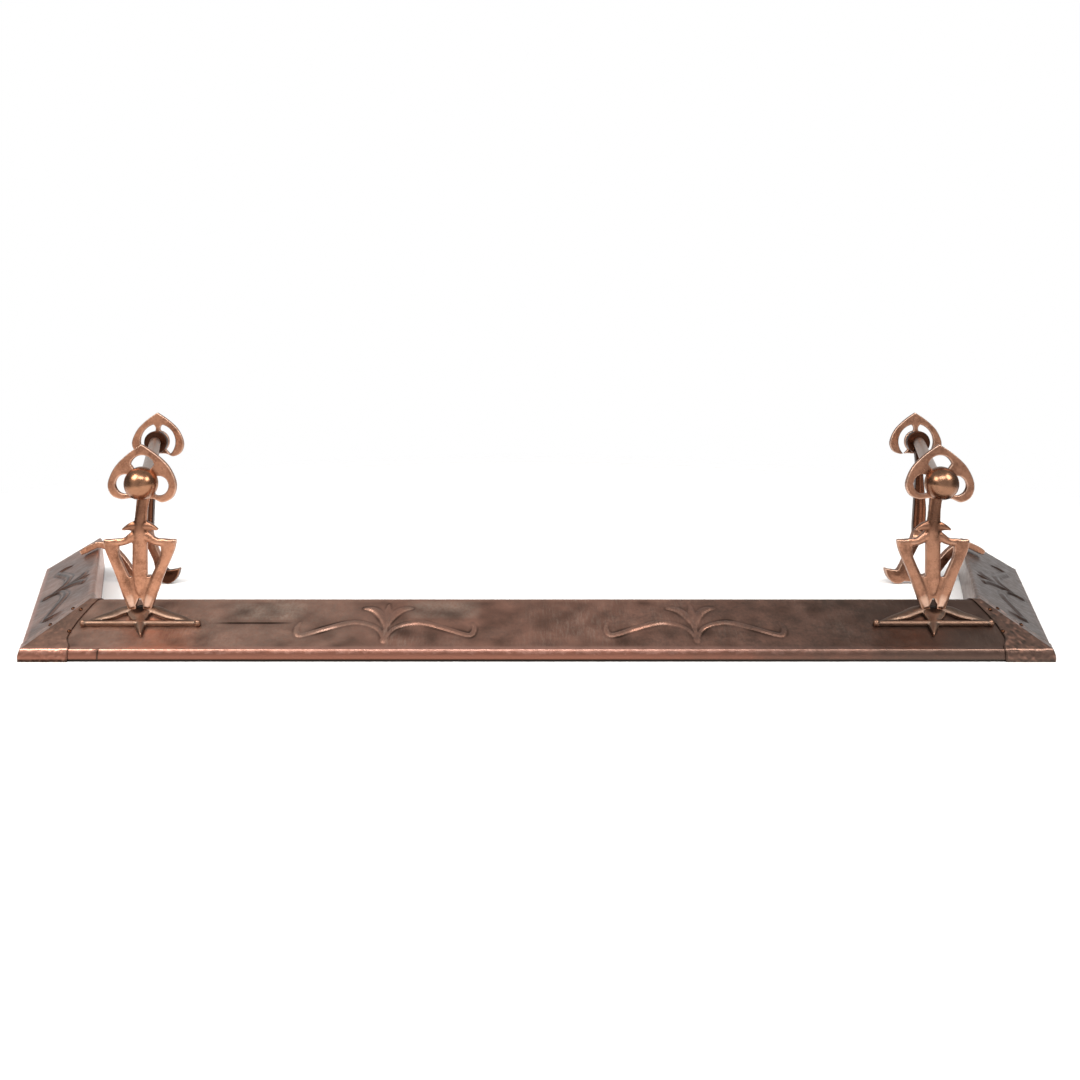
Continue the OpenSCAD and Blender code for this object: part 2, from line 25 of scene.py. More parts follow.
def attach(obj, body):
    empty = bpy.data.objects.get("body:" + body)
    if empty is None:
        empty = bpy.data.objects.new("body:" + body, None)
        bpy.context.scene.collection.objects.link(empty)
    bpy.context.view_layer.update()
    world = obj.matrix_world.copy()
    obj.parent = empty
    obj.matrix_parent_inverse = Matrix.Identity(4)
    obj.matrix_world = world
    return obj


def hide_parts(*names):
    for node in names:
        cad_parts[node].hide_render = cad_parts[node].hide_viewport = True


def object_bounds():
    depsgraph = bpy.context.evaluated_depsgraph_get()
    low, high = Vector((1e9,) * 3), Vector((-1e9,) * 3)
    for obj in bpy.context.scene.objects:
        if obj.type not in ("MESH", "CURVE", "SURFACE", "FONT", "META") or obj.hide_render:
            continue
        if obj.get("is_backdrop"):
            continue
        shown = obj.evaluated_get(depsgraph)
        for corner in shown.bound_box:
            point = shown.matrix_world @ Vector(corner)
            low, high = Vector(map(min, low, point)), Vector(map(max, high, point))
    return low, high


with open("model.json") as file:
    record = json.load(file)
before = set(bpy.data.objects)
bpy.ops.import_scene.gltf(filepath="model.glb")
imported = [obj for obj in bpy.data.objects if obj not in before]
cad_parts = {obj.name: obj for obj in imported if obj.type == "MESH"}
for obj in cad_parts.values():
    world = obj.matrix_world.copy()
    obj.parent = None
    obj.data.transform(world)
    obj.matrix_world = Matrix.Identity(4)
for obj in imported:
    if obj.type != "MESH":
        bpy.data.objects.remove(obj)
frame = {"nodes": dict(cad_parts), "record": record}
BOX_AT_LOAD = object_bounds()

logging.basicConfig(level=logging.INFO, format="%(message)s")
log = logging.getLogger("hearth_fender")

MM = 0.001
# Points round the lip in every section of the kerb
LIP_POINTS = 11
Point = tuple[float, float]
Socket = bpy.types.NodeSocket
Mesh = bmesh.types.BMesh
Piece = bpy.types.Object


class Slot(Enum):
    """Material slots of the frame's record."""

    SHEET = "copper_sheet"
    CAST = "cast_copper"
    BRIGHT = "bright_copper"
    IRON = "flat_iron"
    STEEL = "steel_rod"


class Metal(Enum):
    """Metals of the pieces, each with the slot of the record that it belongs to."""

    SHEET = Slot.SHEET
    CAP = (Slot.SHEET, "cap")
    CAST = Slot.CAST
    DULL_CAST = (Slot.CAST, "dull")
    BRIGHT = Slot.BRIGHT
    IRON = Slot.IRON
    STEEL = Slot.STEEL

    @property
    def slot(self) -> Slot:
        """Slot of the record."""
        return self.value[0] if isinstance(self.value, tuple) else self.value


class Side(Enum):
    """The two ends of the fender, with the sign of X that each drawing takes."""

    LEFT = 1
    RIGHT = -1

    @property
    def word(self) -> str:
        """Name of the side as the frame's nodes spell it."""
        return self.name.lower()


# ---- colours and node graphs ----


def srgb(hex_colour: str) -> tuple[float, float, float, float]:
    """Turn a hex colour into the linear colour that a shader wants.

    Args:
        hex_colour: Six hex digits after a hash.

    Returns:
        Linear red, green, blue and an alpha of one.
    """
    raw = [int(hex_colour[i : i + 2], 16) / 255 for i in (1, 3, 5)]
    lin = [c / 12.92 if c <= 0.04045 else ((c + 0.055) / 1.055) ** 2.4 for c in raw]
    return lin[0], lin[1], lin[2], 1.0


class Graph:
    """The node graph of a material or world, with short ways to add what it needs."""

    def __init__(self, owner: bpy.types.ID) -> None:
        """Turn nodes on for a material or world and keep its tree."""
        owner.use_nodes = True
        self.tree = owner.node_tree

    def link(self, output: Socket, entry: Socket) -> None:
        """Run a link from an output to an input."""
        self.tree.links.new(output, entry)

    def add(self, kind: str, **values: object) -> bpy.types.Node:
        """Add a node and set its properties, or its inputs by name.

        Args:
            kind: Name of the node type, without ShaderNode in front.
            **values: Properties, or inputs with spaces written as underscores, or in_0,
                in_1 and so on for inputs that share a name. A socket as a value is linked.

        Returns:
            The new node.
        """
        node = self.tree.nodes.new(f"ShaderNode{kind}")
        waiting = {}
        for key, value in values.items():
            if hasattr(node, key):
                setattr(node, key, value)
            else:
                waiting[key.replace("_", " ")] = value
        for key, value in waiting.items():
            socket = node.inputs[int(key[3:]) if key.startswith("in ") else key]
            if isinstance(value, Socket):
                self.link(value, socket)
            else:
                socket.default_value = value
        return node

    def attribute(self, name: str) -> Socket:
        """Number that a vertex attribute of the mesh holds."""
        return self.add("Attribute", attribute_name=name).outputs["Fac"]

    def math(self, operation: str, *values: object) -> Socket:
        """Calculate with sockets or numbers, in the order of the node's inputs."""
        given = {f"in_{i}": value for i, value in enumerate(values)}
        return self.add("Math", operation=operation, **given).outputs[0]

    def mix(self, amount: Socket, low: object, high: object) -> Socket:
        """Blend from one colour or socket to another, as amount runs from zero to one."""
        return self.add("Mix", data_type="RGBA", in_0=amount, in_6=low, in_7=high).outputs[2]

    def mix_shaders(self, amount: Socket, low: Socket, high: Socket) -> Socket:
        """Blend from one shader to another, as amount runs from zero to one."""
        return self.add("MixShader", in_0=amount, in_1=low, in_2=high).outputs[0]

    def spread(
        self, value: Socket, low: float, high: float, to_low: float = 0.0, to_high: float = 1.0
    ) -> Socket:
        """Stretch the part of a socket from low to high over a new range, and clamp it.

        Args:
            value: Socket to read.
            low: Value that becomes to_low.
            high: Value that becomes to_high.
            to_low: Start of the new range.
            to_high: End of the new range.

        Returns:
            The stretched socket.
        """
        return self.add(
            "MapRange", Value=value, From_Min=low, From_Max=high, To_Min=to_low, To_Max=to_high
        ).outputs["Result"]

    def noise(self, place: Socket, size_mm: float, detail: float, harsh: float) -> Socket:
        """Noise whose patches are about size_mm wide.

        Args:
            place: Place to read the noise at.
            size_mm: Width of a patch.
            detail: Number of finer layers.
            harsh: Strength of the finer layers.

        Returns:
            Noise from zero to one.
        """
        return self.add(
            "TexNoise", Vector=place, Scale=1000 / size_mm, Detail=detail, Roughness=harsh
        ).outputs["Fac"]

    def stretch(self, place: Socket, scale: Sequence[float]) -> Socket:
        """Scale a place along each axis."""
        return self.add("Mapping", Vector=place, Scale=scale).outputs["Vector"]

    def bump(self, height: Socket, deep_mm: float, **below: Socket) -> Socket:
        """Normal of a surface that rises and falls by deep_mm, over a Normal below it.

        Args:
            height: Height from zero to one.
            deep_mm: Rise from the lowest to the highest.
            **below: Normal of the surface below, if there is one.

        Returns:
            The new normal.
        """
        return self.add(
            "Bump", Height=height, Strength=1.0, Distance=deep_mm * MM, **below
        ).outputs["Normal"]


@dataclass(frozen=True)
class MetalFinish:
    """A worn metal: tarnish, grain, dents, and brighter rubbed crests and painted highlights.

    Attributes:
        name: Name of the material.
        body: Main colour.
        tarnish: Colour of the darker film that lies in clouds.
        rubbed_and_glint: Colour of crests and edges that hands and brushes reach, and of painted
            highlights and glints.
        deep: Colour of hollows, and of painted shade.
        film_mm: Size of the tarnish clouds.
        film: How much of the surface the film covers, from zero to one.
        streak: How far the clouds are drawn out along X, as a factor.
        grain_mm: Size of the fine grain.
        grain_deep_mm: Depth of the fine grain.
        dent_mm: Size of the shallow dents.
        dent_deep_mm: Depth of the shallow dents.
        rough: Roughness of the rubbed metal and of the tarnished metal.
        dust: Share of pale dust where the dust attribute has it.
        smoke: Share of dark grey-brown towards the right end.
        scuffs: Share of pale scuffs that run down the slope.
        edge: Colours of the low outer edge: painted shade at the floor, its own tone at its
            middle, and a painted highlight at its crease.
    """

    name: str
    body: str
    tarnish: str
    rubbed_and_glint: str
    deep: str
    film_mm: float = 45.0
    film: float = 0.5
    streak: float = 1.0
    grain_mm: float = 1.4
    grain_deep_mm: float = 0.03
    dent_mm: float = 9.0
    dent_deep_mm: float = 0.0
    rough: tuple[float, float] = (0.24, 0.42)
    dust: float = 0.0
    smoke: float = 0.0
    scuffs: float = 0.0
    edge: tuple[str, str, str] | None = None

    def build(self) -> bpy.types.Material:
        """Make the material.

        Returns:
            The new material.
        """
        material = bpy.data.materials.new(self.name)
        graph = Graph(material)
        shader = graph.tree.nodes["Principled BSDF"]
        place = graph.add("TexCoord").outputs["Object"]
        drawn = graph.stretch(place, (1 / self.streak, 1, 1))
        split = graph.add("SeparateXYZ", Vector=place).outputs

        # Clouds of tarnish, one patch about as wide as film_mm, broken up by small flecks
        clouds = graph.noise(drawn, self.film_mm, 7.0, 0.68)
        flecks = graph.noise(place, self.film_mm / 7, 4.0, 0.6)
        both = graph.math("MULTIPLY_ADD", flecks, 0.45, clouds)
        low = 0.52 + 0.3 * (1 - self.film)
        toned = graph.mix(
            graph.spread(both, low, low + 0.36), srgb(self.body), srgb(self.tarnish)
        )
        if self.dust:
            broken = graph.spread(flecks, 0.3, 0.62, 0.35, 1.0)
            share = graph.math("MULTIPLY", graph.attribute("dust"), broken)
            toned = graph.mix(
                graph.spread(share, 0.0, 1.0, 0.0, self.dust), toned, srgb("#bfa898")
            )
        if self.scuffs:
            toned = self.scuffed(graph, place, toned)
        # The lip's foot is darkened with painted shade, and its crease lightened with a painted
        # highlight
        if self.edge:
            toned = self.lip_edge_shade_and_highlight(graph, split["Z"], drawn, toned)
        # Darker and greyer towards the right end
        if self.smoke:
            along = graph.math("MULTIPLY_ADD", both, 0.34, split["X"])
            share = graph.spread(along, 0.32, 0.66, 0.0, self.smoke)
            toned = graph.mix(share, toned, srgb("#48403b"))

        # Crests and painted highlights are above a half in the attribute; hollows and painted
        # shade below it
        wear_and_painted_light = graph.attribute("wear_and_painted_light")
        toned = graph.mix(graph.spread(wear_and_painted_light, 0.48, 0.14), toned, srgb(self.deep))
        toned = graph.mix(graph.spread(wear_and_painted_light, 0.56, 0.94), toned, srgb(self.rubbed_and_glint))
        graph.link(toned, shader.inputs["Base Color"])

        # A soft smear carries wiped and unwiped areas
        smear = graph.noise(drawn, self.film_mm / 2.6, 4.0, 0.7)
        graph.link(graph.spread(smear, 0.3, 0.7, *self.rough), shader.inputs["Roughness"])
        bump = graph.bump(graph.noise(place, self.grain_mm, 3.0, 0.5), self.grain_deep_mm)
        if self.dent_deep_mm:
            dents = graph.noise(place, self.dent_mm, 3.0, 0.55)
            bump = graph.bump(dents, self.dent_deep_mm, Normal=bump)
        graph.link(bump, shader.inputs["Normal"])
        shader.inputs["Metallic"].default_value = 1.0
        return material

    def scuffed(self, graph: Graph, place: Socket, below: Socket) -> Socket:
        """Comb pale scuffs over the colour below, in loose groups.

        Args:
            graph: Graph to work in.
            place: Place on the piece.
            below: Colour below the scuffs.

        Returns:
            The colour with its scuffs.
        """
        group = graph.spread(graph.noise(place, 70, 2.0, 0.5), 0.46, 0.66)
        combed = graph.stretch(place, (5, 1, 1))
        hair = graph.spread(graph.noise(combed, 13, 5.0, 0.75), 0.46, 0.68)
        share = graph.spread(graph.math("MULTIPLY", group, hair), 0.0, 1.0, 0.0, self.scuffs)
        return graph.mix(share, below, srgb("#c4aa9a"))

    def lip_edge_shade_and_highlight(self, graph: Graph, high: Socket, drawn: Socket, above: Socket) -> Socket:
        """Colour the low outer edge by height, painted shade at the floor and a painted
        highlight at the crease, with smears along it.

        Args:
            graph: Graph to work in.
            high: Height above the floor.
            drawn: Place, drawn out along X.
            above: Colour above the edge.

        Returns:
            The colour of the whole.
        """
        uneven = graph.math("MULTIPLY_ADD", graph.noise(drawn, 7.0, 4.0, 0.7), 0.012, high)
        # floor is painted shade under the lip, crease a painted highlight
        floor, middle, crease = (srgb(c) for c in self.edge)
        low = graph.mix(graph.spread(high, 0.0026, 0.0042), floor, middle)
        side = graph.mix(graph.spread(uneven, 0.0155, 0.0205), low, crease)
        return graph.mix(graph.spread(high, 0.0148, 0.0166), side, above)


class Finishes:
    """One material for each metal, made once."""

    def __init__(self) -> None:
        """Make every metal."""
        # Lip colours: painted shade at the floor, the lip's own tone, a painted highlight at the
        # crease
        edge = ("#35261f", "#83594b", "#b3887a")
        finishes = {
            Metal.SHEET: MetalFinish(
                name="aged_copper_sheet", body="#a07868", tarnish="#84695d",
                rubbed_and_glint="#c8a593", deep="#46352d", film_mm=24, streak=1.4,
                dent_mm=8, dent_deep_mm=0.26, rough=(0.28, 0.44), dust=0.85, smoke=0.8,
                scuffs=0.5, edge=edge,
            ),
            Metal.CAP: MetalFinish(
                name="hammered_copper_cap", body="#9a7868", tarnish="#715e53",
                rubbed_and_glint="#b08573", deep="#46372f", film_mm=30, film=0.6,
                dent_mm=7, dent_deep_mm=0.3, rough=(0.26, 0.42), smoke=0.8, edge=edge,
            ),
            Metal.CAST: MetalFinish(
                name="cast_copper", body="#ae7d63", tarnish="#6d4735", rubbed_and_glint="#e2c2ae",
                deep="#3f261b", film_mm=17, film=0.55, grain_mm=1.1, grain_deep_mm=0.05,
                dent_mm=8, dent_deep_mm=0.12, rough=(0.24, 0.42), smoke=0.3,
            ),
            Metal.DULL_CAST: MetalFinish(
                name="dull_cast_copper", body="#7c675a", tarnish="#57463b",
                rubbed_and_glint="#93705d", deep="#2e221c", film_mm=16, grain_mm=1.1,
                grain_deep_mm=0.05, rough=(0.34, 0.5), smoke=0.4,
            ),
            Metal.BRIGHT: MetalFinish(
                name="polished_golden_copper", body="#966d54", tarnish="#70503d",
                rubbed_and_glint="#bd9476", deep="#4f3324", film_mm=18, film=0.4,
                grain_mm=3, grain_deep_mm=0.006, rough=(0.2, 0.3), smoke=0.25,
            ),
            Metal.IRON: MetalFinish(
                name="black_flat_iron", body="#2a2725", tarnish="#1b1918",
                rubbed_and_glint="#5a5450", deep="#2a2725", film_mm=20, grain_deep_mm=0.08,
                rough=(0.5, 0.7),
            ),
            Metal.STEEL: MetalFinish(
                name="dull_steel", body="#a8958a", tarnish="#7f6d62", rubbed_and_glint="#c4b5aa",
                deep="#a08d81", film_mm=30, grain_mm=0.8, grain_deep_mm=0.02,
                rough=(0.3, 0.45),
            ),
        }
        self.made = {metal: finish.build() for metal, finish in finishes.items()}

    def dress(self, piece: Piece, metal: Metal) -> None:
        """Give a new piece its material.

        Args:
            piece: Piece to dress.
            metal: Metal of the piece.
        """
        piece.data.materials.clear()
        piece.data.materials.append(self.made[metal])

    def dress_carried(self) -> None:
        """Give every node that is still shown the metal of its slot."""
        for part in frame["record"]["subparts"]:
            node = frame["nodes"][part["node"]]
            if node.hide_render:
                continue
            metal = next(m for m in Metal if m.slot.value == part["material_slot"])
            for place in node.material_slots:
                place.material = self.made[metal]
            log.info("carried over: %s", part["node"])


# ---- mesh helpers ----


def add_object(name: str, data: bpy.types.ID) -> Piece:
    """Make an object of a mesh, lamp or camera and put it in the scene.

    Args:
        name: Name of the object.
        data: What it holds.

    Returns:
        The new object.
    """
    made = bpy.data.objects.new(name, data)
    bpy.context.scene.collection.objects.link(made)
    return made


def finish_piece(bm: Mesh, name: str, body: str, nodes: Sequence[str]) -> Piece:
    """Turn a finished bmesh into a smooth-shaded piece that rides on a body.

    Args:
        bm: Mesh in the row frame. It is freed.
        name: Name of the piece.
        body: Body of the frame that carries it.
        nodes: Nodes that it stands for.

    Returns:
        The new object.
    """
    mesh = bpy.data.meshes.new(name)
    for face in bm.faces:
        face.smooth = True
    bm.to_mesh(mesh)
    bm.free()
    piece = add_object(name, mesh)
    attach(piece, body)
    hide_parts(*nodes)
    log.info("%s: %d faces on %s", name, len(mesh.polygons), body)
    return piece


def flat_grid(wide: int, deep: int) -> tuple[Mesh, list[tuple[int, int]]]:
    """Make a grid of faces to be shaped.

    Args:
        wide: Number of faces across.
        deep: Number of faces down.

    Returns:
        The grid, and the column and row of each vertex.
    """
    bm = bmesh.new()
    bmesh.ops.create_grid(bm, x_segments=wide, y_segments=deep, size=1)
    return bm, [
        (round((v.co.x + 1) / 2 * wide), round((v.co.y + 1) / 2 * deep)) for v in bm.verts
    ]


def pour(source: Mesh, target: Mesh) -> None:
    """Add one mesh to another and free the first.

    Args:
        source: Mesh that is added.
        target: Mesh that takes it.
    """
    mesh = bpy.data.meshes.new("poured")
    source.to_mesh(mesh)
    source.free()
    target.from_mesh(mesh)
    bpy.data.meshes.remove(mesh)


def face_up(bm: Mesh) -> None:
    """Turn all faces of an open sheet to the side that looks up.

    Args:
        bm: Sheet to turn.
    """
    bmesh.ops.recalc_face_normals(bm, faces=bm.faces)
    if sum(f.normal.z * f.calc_area() for f in bm.faces) < 0:
        bmesh.ops.reverse_faces(bm, faces=bm.faces)


def thicken(piece: Piece, wall: float) -> None:
    """Give a sheet its thickness, inward from its faces.

    Args:
        piece: Sheet that gets it.
        wall: Thickness.
    """
    solid = piece.modifiers.new("thickness", "SOLIDIFY")
    solid.thickness = wall
    solid.offset = -1


def write_share(bm: Mesh, values: Sequence[float], name: str = "wear_and_painted_light") -> None:
    """Store one number a vertex.

    Args:
        bm: Mesh that gets the numbers.
        values: For wear_and_painted_light, from 0 in a hollow or painted shade through 0.5 to 1
            on a crest or painted highlight. For dust, its share.
        name: Name of the attribute.
    """
    layer = bm.verts.layers.float.new(name)
    for vert, value in zip(bm.verts, values):
        vert[layer] = value


def wear_from_curvature(bm: Mesh, reach: float, gain: float) -> list[float]:
    """Read crests and hollows off a fine, even mesh.

    Args:
        bm: Mesh whose normals are up to date.
        reach: Radius, at which an edge counts as fully rubbed.
        gain: Strength of the result.

    Returns:
        One value a vertex, 0.5 on a flat.
    """
    co = np.array([v.co for v in bm.verts])
    normals = np.array([v.normal for v in bm.verts])
    pairs = np.array([(e.verts[0].index, e.verts[1].index) for e in bm.edges])
    count = np.zeros(len(co))
    np.add.at(count, pairs.ravel(), 1)
    count = np.maximum(count, 1)
    total = np.zeros_like(co)
    np.add.at(total, pairs[:, 0], co[pairs[:, 1]])
    np.add.at(total, pairs[:, 1], co[pairs[:, 0]])
    lift = np.einsum("ij,ij->i", co - total / count[:, None], normals)
    for _ in range(3):
        again = np.zeros_like(lift)
        np.add.at(again, pairs[:, 0], lift[pairs[:, 1]])
        np.add.at(again, pairs[:, 1], lift[pairs[:, 0]])
        lift = 0.5 * lift + 0.5 * again / count
    step = float(np.median(np.linalg.norm(co[pairs[:, 0]] - co[pairs[:, 1]], axis=1)))
    even = lift * 2 * reach / step**2
    return list(np.clip(0.5 + 0.5 * gain * even, 0, 1))


def between(a: Point, b: Point, share: float) -> Point:
    """Point at a share of the way from one point to another."""
    return a[0] + (b[0] - a[0]) * share, a[1] + (b[1] - a[1]) * share


def arc(centre: Point, radius: float, start: float, stop: float, count: int) -> list[Point]:
    """Points on an arc, with both ends.

    Args:
        centre: Centre of the arc.
        radius: Its radius.
        start: Angle of the first point.
        stop: Angle of the last point.
        count: Number of points.

    Returns:
        The points in order.
    """
    return [
        (centre[0] + radius * math.cos(a), centre[1] + radius * math.sin(a))
        for a in np.linspace(start, stop, count)
    ]


def spline(points: Sequence[Sequence[float]], steps: int) -> list[list[float]]:
    """Run a smooth curve through points of any width.

    Args:
        points: Points that the curve passes.
        steps: Samples between two points.

    Returns:
        The samples, with the last point.
    """
    p = [np.array(q, float) for q in points]
    out = []
    for i in range(len(p) - 1):
        a, b, c, d = p[max(i - 1, 0)], p[i], p[i + 1], p[min(i + 2, len(p) - 1)]
        for k in range(steps):
            t = k / steps
            out.append(
                0.5 * (2 * b + t * (c - a) + t * t * (2 * a - 5 * b + 4 * c - d)
                       + t**3 * (3 * b - a - 3 * c + d))
            )
    out.append(p[-1])
    return [list(q) for q in out]


def mirrored(sign: int, points: Sequence[Sequence[float]]) -> list[Sequence[float]]:
    """Stations of a line, turned to the other side where the sign is -1."""
    return [(sign * across, *others) for across, *others in points]


# ---- kerb ----


@dataclass(frozen=True)
class KerbForm:
    """Sizes of the folded kerb, as the frame has them, from the floor and the front edge."""

    front: float = 1200 * MM
    side: float = 396 * MM
    splay: float = math.radians(21)
    end_cut: float = math.radians(15)
    height: float = 51 * MM
    ridge_in: float = 76 * MM
    slope: float = math.radians(27.3)
    lip_h: float = 14 * MM
    lip_r: float = 19.4 * MM
    lip_low: float = 4.2 * MM
    crease_in: float = 4.2 * MM
    ridge_r: float = 3.5 * MM
    foot_in: float = 84 * MM
    iron: float = 2.2 * MM
    flange: float = 9 * MM
    sheet: float = 1.2 * MM
    seam: float = 0.15 * MM
    middle: float = 226.875 * MM
    motif: float = 184 * MM
    motif_shift: float = 5 * MM
    lap: float = 91 * MM

    @property
    def per_inward(self) -> float:
        """Distance along a run that its mitre takes for each length inward."""
        return 1 / math.tan((math.pi / 2 + self.splay) / 2)

    @property
    def up(self) -> float:
        """Width of the sloping face, from the crease to the ridge."""
        return (self.ridge_in - self.crease_in) / math.cos(self.slope)

    def face_z(self, inward: float) -> float:
        """Height of the sloping face at a distance in from the edge.

        Args:
            inward: Distance in from the edge.

        Returns:
            Height above the floor.
        """
        touch = (
            self.ridge_in - self.ridge_r * math.sin(self.slope),
            self.height - self.ridge_r + self.ridge_r * math.cos(self.slope),
        )
        return touch[1] - (touch[0] - inward) * math.tan(self.slope)

    def section(self, grow: float, floor: float, fine: int) -> list[Point]:
        """Outline from the floor over the lip, up the slope and down the inner face.

        Args:
            grow: How far the outline stands outside the sheet.
            floor: Height at which it starts and ends.
            fine: Steps across the sloping face.

        Returns:
            Points of distance in from the edge, and height.
        """
        lip = self.lip_r + grow
        low = math.pi - math.asin((floor - self.lip_low) / lip)
        high = math.pi - math.asin((self.lip_h - self.lip_low) / self.lip_r)
        path = arc((self.lip_r, self.lip_low), lip, low, high, LIP_POINTS)
        lean = math.atan2(self.foot_in - self.ridge_in - self.ridge_r, self.height)
        centre = (self.ridge_in, self.height - self.ridge_r)
        ridge = self.ridge_r + grow
        sin, cos = math.sin(self.slope), math.cos(self.slope)
        start = (self.crease_in - grow * sin, self.face_z(self.crease_in) + grow * cos)
        stop = (centre[0] - ridge * sin, centre[1] + ridge * cos)
        path += [between(start, stop, k / fine) for k in range(fine)]
        path += arc(centre, ridge, math.pi / 2 + self.slope, lean, 9)
        side = path[-1]
        foot = (side[0] + (side[1] - floor) * math.tan(lean), floor)
        return path + [between(side, foot, k / 6) for k in range(1, 7)]


@dataclass(frozen=True)
class Run:
    """A straight run of the kerb: places its distance along, inward and up in the row frame.

    Attributes:
        form: Sizes of the kerb.
        side: End of the fender whose corner the run starts from.
        along_front: True along the front, False along the splayed side.
    """

    form: KerbForm
    side: Side
    along_front: bool

    def place(self, along: float, inward: float, high: float) -> Vector:
        """Point in the row frame, from distances along the run, inward and up.

        Args:
            along: Distance along the run.
            inward: Distance in from the edge.
            high: Height above the floor.

        Returns:
            The point.
        """
        x, y = along, inward
        if not self.along_front:
            sin, cos = math.sin(self.form.splay), math.cos(self.form.splay)
            x, y = inward * cos - along * sin, inward * sin + along * cos
        x -= self.form.front / 2
        return Vector((x * self.side.value, y - self.form.middle, high))


@dataclass(frozen=True)
class Relief:
    """Tulip with a whiplash line to each side, beaten up from behind and chased round.

    Attributes:
        rise: Height of the crests.
        shoulder: Width of the soft slope at each side of a line.
        groove: Depth of the chased line at its foot.
        reach: Half the length of the whole pattern.
        polish: How much brighter the crests are coloured, partly rubbed and partly painted
            highlight; below zero, painted shade that darkens them.
        bold: Factor on the width of every line.
    """

    rise: float = 1.5 * MM
    shoulder: float = 1.2 * MM
    groove: float = 0.32 * MM
    reach: float = 106 * MM
    polish: float = 0.07
    bold: float = 1.0

    def lines(self, up: float) -> list[list[list[float]]]:
        """Centre lines of the pattern, drawn in millimetres and shares of the slope.

        Args:
            up: Width of the sloping face.

        Returns:
            A list of along, up the slope and width for each line, in metres.
        """
        reach = self.reach / MM
        stem = [(0, 0.12, 3), (0, 0.17, 8), (0, 0.26, 4.6), (0, 0.54, 4)]
        bud = [(0, 0.54, 4), (0, 0.7, 8), (0, 0.87, 1.6)]
        petal = [
            (0.5, 0.4, 3), (2.5, 0.51, 6), (7, 0.64, 9), (13.5, 0.74, 9.4), (21, 0.79, 6.6),
            (29, 0.8, 2),
        ]
        whiplash = [
            (1, 0.2, 3.4), (6, 0.33, 4), (14, 0.43, 4.4), (0.28 * reach, 0.5, 5.4),
            (0.43 * reach, 0.5, 6.4), (0.67 * reach, 0.39, 6), (0.9 * reach, 0.27, 6),
            (reach - 3, 0.28, 6), (reach, 0.4, 4.2), (reach - 3, 0.51, 1.4),
        ]
        drawn = [spline(stem, 5), spline(bud, 5)]
        for half in (petal, whiplash):
            drawn += [spline(mirrored(sign, half), 6) for sign in (-1, 1)]
        return [[[x * MM, y * up, w * MM * self.bold] for x, y, w in line] for line in drawn]

    def height(self, points: np.ndarray, centres: Sequence[float], up: float) -> np.ndarray:
        """Height of the beaten surface above the plain sheet.

        Args:
            points: Rows of distance along the run and distance up the slope.
            centres: Places along the run of the pattern's middle.
            up: Width of the sloping face.

        Returns:
            Height at each row.
        """
        raised = np.zeros(len(points))
        chased = np.zeros(len(points))
        for centre in centres:
            for line in self.lines(up):
                for a, b in zip(line, line[1:]):
                    start, run = np.array(a[:2]) + (centre, 0), np.array(b[:2]) - np.array(a[:2])
                    t = np.clip((points - start) @ run / max(run @ run, 1e-12), 0, 1)
                    off = np.linalg.norm(points - start - t[:, None] * run, axis=1)
                    half = 0.5 * (a[2] + (b[2] - a[2]) * t) + self.shoulder
                    q = np.clip(off / half, 0, 1)
                    crown = np.clip(half / (4.5 * MM), 0.55, 1)
                    raised = np.maximum(raised, self.rise * crown * (1 - q * q) ** 2)
                    foot = np.exp(-(((off - half) / (1.6 * MM)) ** 2))
                    chased = np.maximum(chased, foot)
        return raised - self.groove * chased * (raised < 0.25 * self.rise)


@dataclass(frozen=True)
class Field:
    """A pale, dusty field on the slope, or, where it is thin, the painted shade line of a
    crease.

    Attributes:
        along: Place of its middle along the run.
        up: Place of its middle up the slope.
        long: Half its length.
        high: Half its height up the slope.
        share: How strongly it shows.
    """

    along: float
    up: float
    long: float
    high: float
    share: float

    def at(self, along: float, up: float) -> float:
        """Strength at a place along and up the slope, in metres.

        Args:
            along: Distance along the run.
            up: Distance up the slope.

        Returns:
            Strength from zero to its share.
        """
        across = abs(up - self.up) / self.high
        length = abs(along - self.along) / self.long
        return self.share * max(0.0, 1 - across**4) * max(0.0, 1 - length**4)


